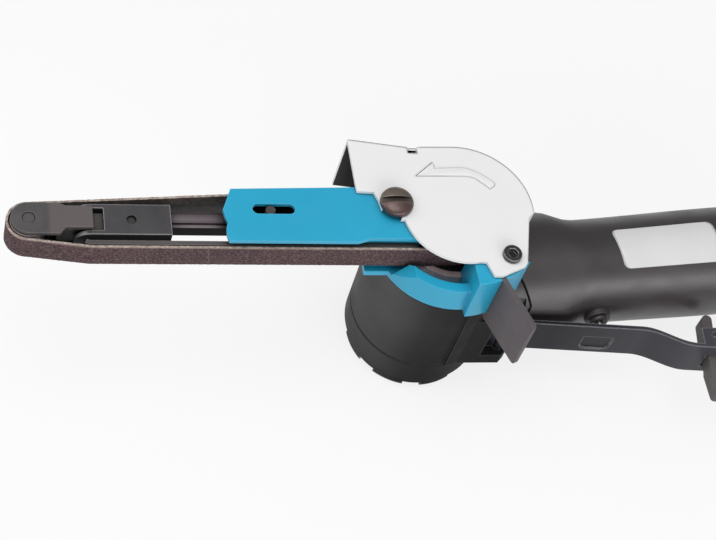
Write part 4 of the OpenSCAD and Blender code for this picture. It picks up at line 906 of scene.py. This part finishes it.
# Springs
def build_spring(name, node, body, foot, along, length, radius, wire, turns):
    """A spring with closed end turns, from its fixed foot along a line."""
    gap = 0.1
    pitch = (length - 2 * gap - 3 * wire) / (turns - 2)

    def rise(turn):
        return wire * min(turn, 1) + pitch * min(max(turn - 1, 0), turns - 2) + wire * max(turn - turns + 1, 0)

    v, f = coil_mesh(foot + along * (gap + wire / 2), along, turns, radius, lambda u: wire / 2, rise)
    obj = piece(name, v, f, ["spring"], body)
    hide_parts(node)
    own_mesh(obj)


belt = belt_path(0.5)
build_belt(belt)
build_threads(belt)
build_arrow()
build_notch_tab()
build_plate()
build_joint_lip()
build_thread()
build_spring("carriage_spring", "tension_spring", "arm", foot=Vector((-29.5, -0.5, 68.0)),
             along=Vector((-1, 0, 0)), length=27.2, radius=2.9, wire=0.9, turns=11)
build_spring("throttle_spring", "valve_spring", "body", foot=round_handle(56.5, 90, -5.27),
             along=SIDE, length=8.42, radius=2.4, wire=0.6, turns=5)


# Camera, floor and light, in metres
def build_camera():
    """Camera fitted to the photograph: its axes, its place, and its focal length in the photograph's pixels."""
    right, up, back = (0.9708, -0.1201, 0.2076), (-0.0048, 0.8557, 0.5176), (-0.2397, -0.5034, 0.8302)
    place = (-0.1872, -0.3382, 0.5978)
    focal_px, photo_px, sensor_mm = 2036.4, 716.0, 36.0
    cam = bpy.data.objects.new("camera", bpy.data.cameras.new("camera"))
    scene.collection.objects.link(cam)
    cam.matrix_world = Matrix((*zip(right, up, back, place), (0, 0, 0, 1)))
    cam.data.sensor_width = sensor_mm
    cam.data.lens = focal_px * sensor_mm / photo_px
    cam.data.clip_start, cam.data.clip_end = 0.01, 50
    scene.camera = cam


def build_stage():
    """Pale floor just under the part, nearly white to the camera and in mirrors, and an even world."""
    half, low, glow_share = 6.0, -0.0005, 0.8
    me = bpy.data.meshes.new("floor")
    me.from_pydata([(-half, -half, low), (half, -half, low), (half, half, low), (-half, half, low)], [],
                   [(0, 1, 2, 3)])
    floor = bpy.data.objects.new("floor", me)
    scene.collection.objects.link(floor)
    m, t, b = tree_of("pale_floor")
    b.inputs["Base Color"].default_value = (0.86, 0.86, 0.86, 1)
    b.inputs["Roughness"].default_value = 0.9
    b.inputs["Specular IOR Level"].default_value = 0.1
    rays = add(t, "ShaderNodeLightPath").outputs
    seen = maths(t, "MAXIMUM", rays["Is Camera Ray"], rays["Is Glossy Ray"])
    seen = maths(t, "MAXIMUM", seen, rays["Is Transmission Ray"])
    glow = add(t, "ShaderNodeEmission", Color=(1, 1, 1, 1), Strength=1.0)
    both = add(t, "ShaderNodeMixShader")
    for value, socket in ((maths(t, "MULTIPLY", seen, glow_share), 0), (b.outputs[0], 1), (glow.outputs[0], 2)):
        t.links.new(value, both.inputs[socket])
    t.links.new(both.outputs[0], t.nodes["Material Output"].inputs["Surface"])
    me.materials.append(m)

    world = bpy.data.worlds.new("studio")
    world.use_nodes = True
    scene.world = world
    light = world.node_tree.nodes["Background"]
    light.inputs["Color"].default_value = (1, 1, 1, 1)
    light.inputs["Strength"].default_value = 0.30


def lamp(name, place, aim, size, watts):
    """A soft rectangular lamp at a place, turned towards another."""
    d = bpy.data.lights.new(name, "AREA")
    d.shape, d.energy = "RECTANGLE", watts
    d.size, d.size_y = size
    o = bpy.data.objects.new(name, d)
    o.location = place
    o.rotation_euler = (Vector(aim) - Vector(place)).to_track_quat("-Z", "Y").to_euler()
    scene.collection.objects.link(o)


build_camera()
build_stage()
lamp("strip", place=(0.3, -1.1, 0.5), aim=(0.02, 0, 0.04), size=(1.5, 0.4), watts=7.0)
lamp("left", place=(-0.85, 0.15, 0.6), aim=(0, 0, 0.04), size=(0.6, 0.6), watts=2.2)
lamp("top", place=(-0.15, -0.05, 1.1), aim=(0, 0, 0.04), size=(0.7, 0.7), watts=6.0)
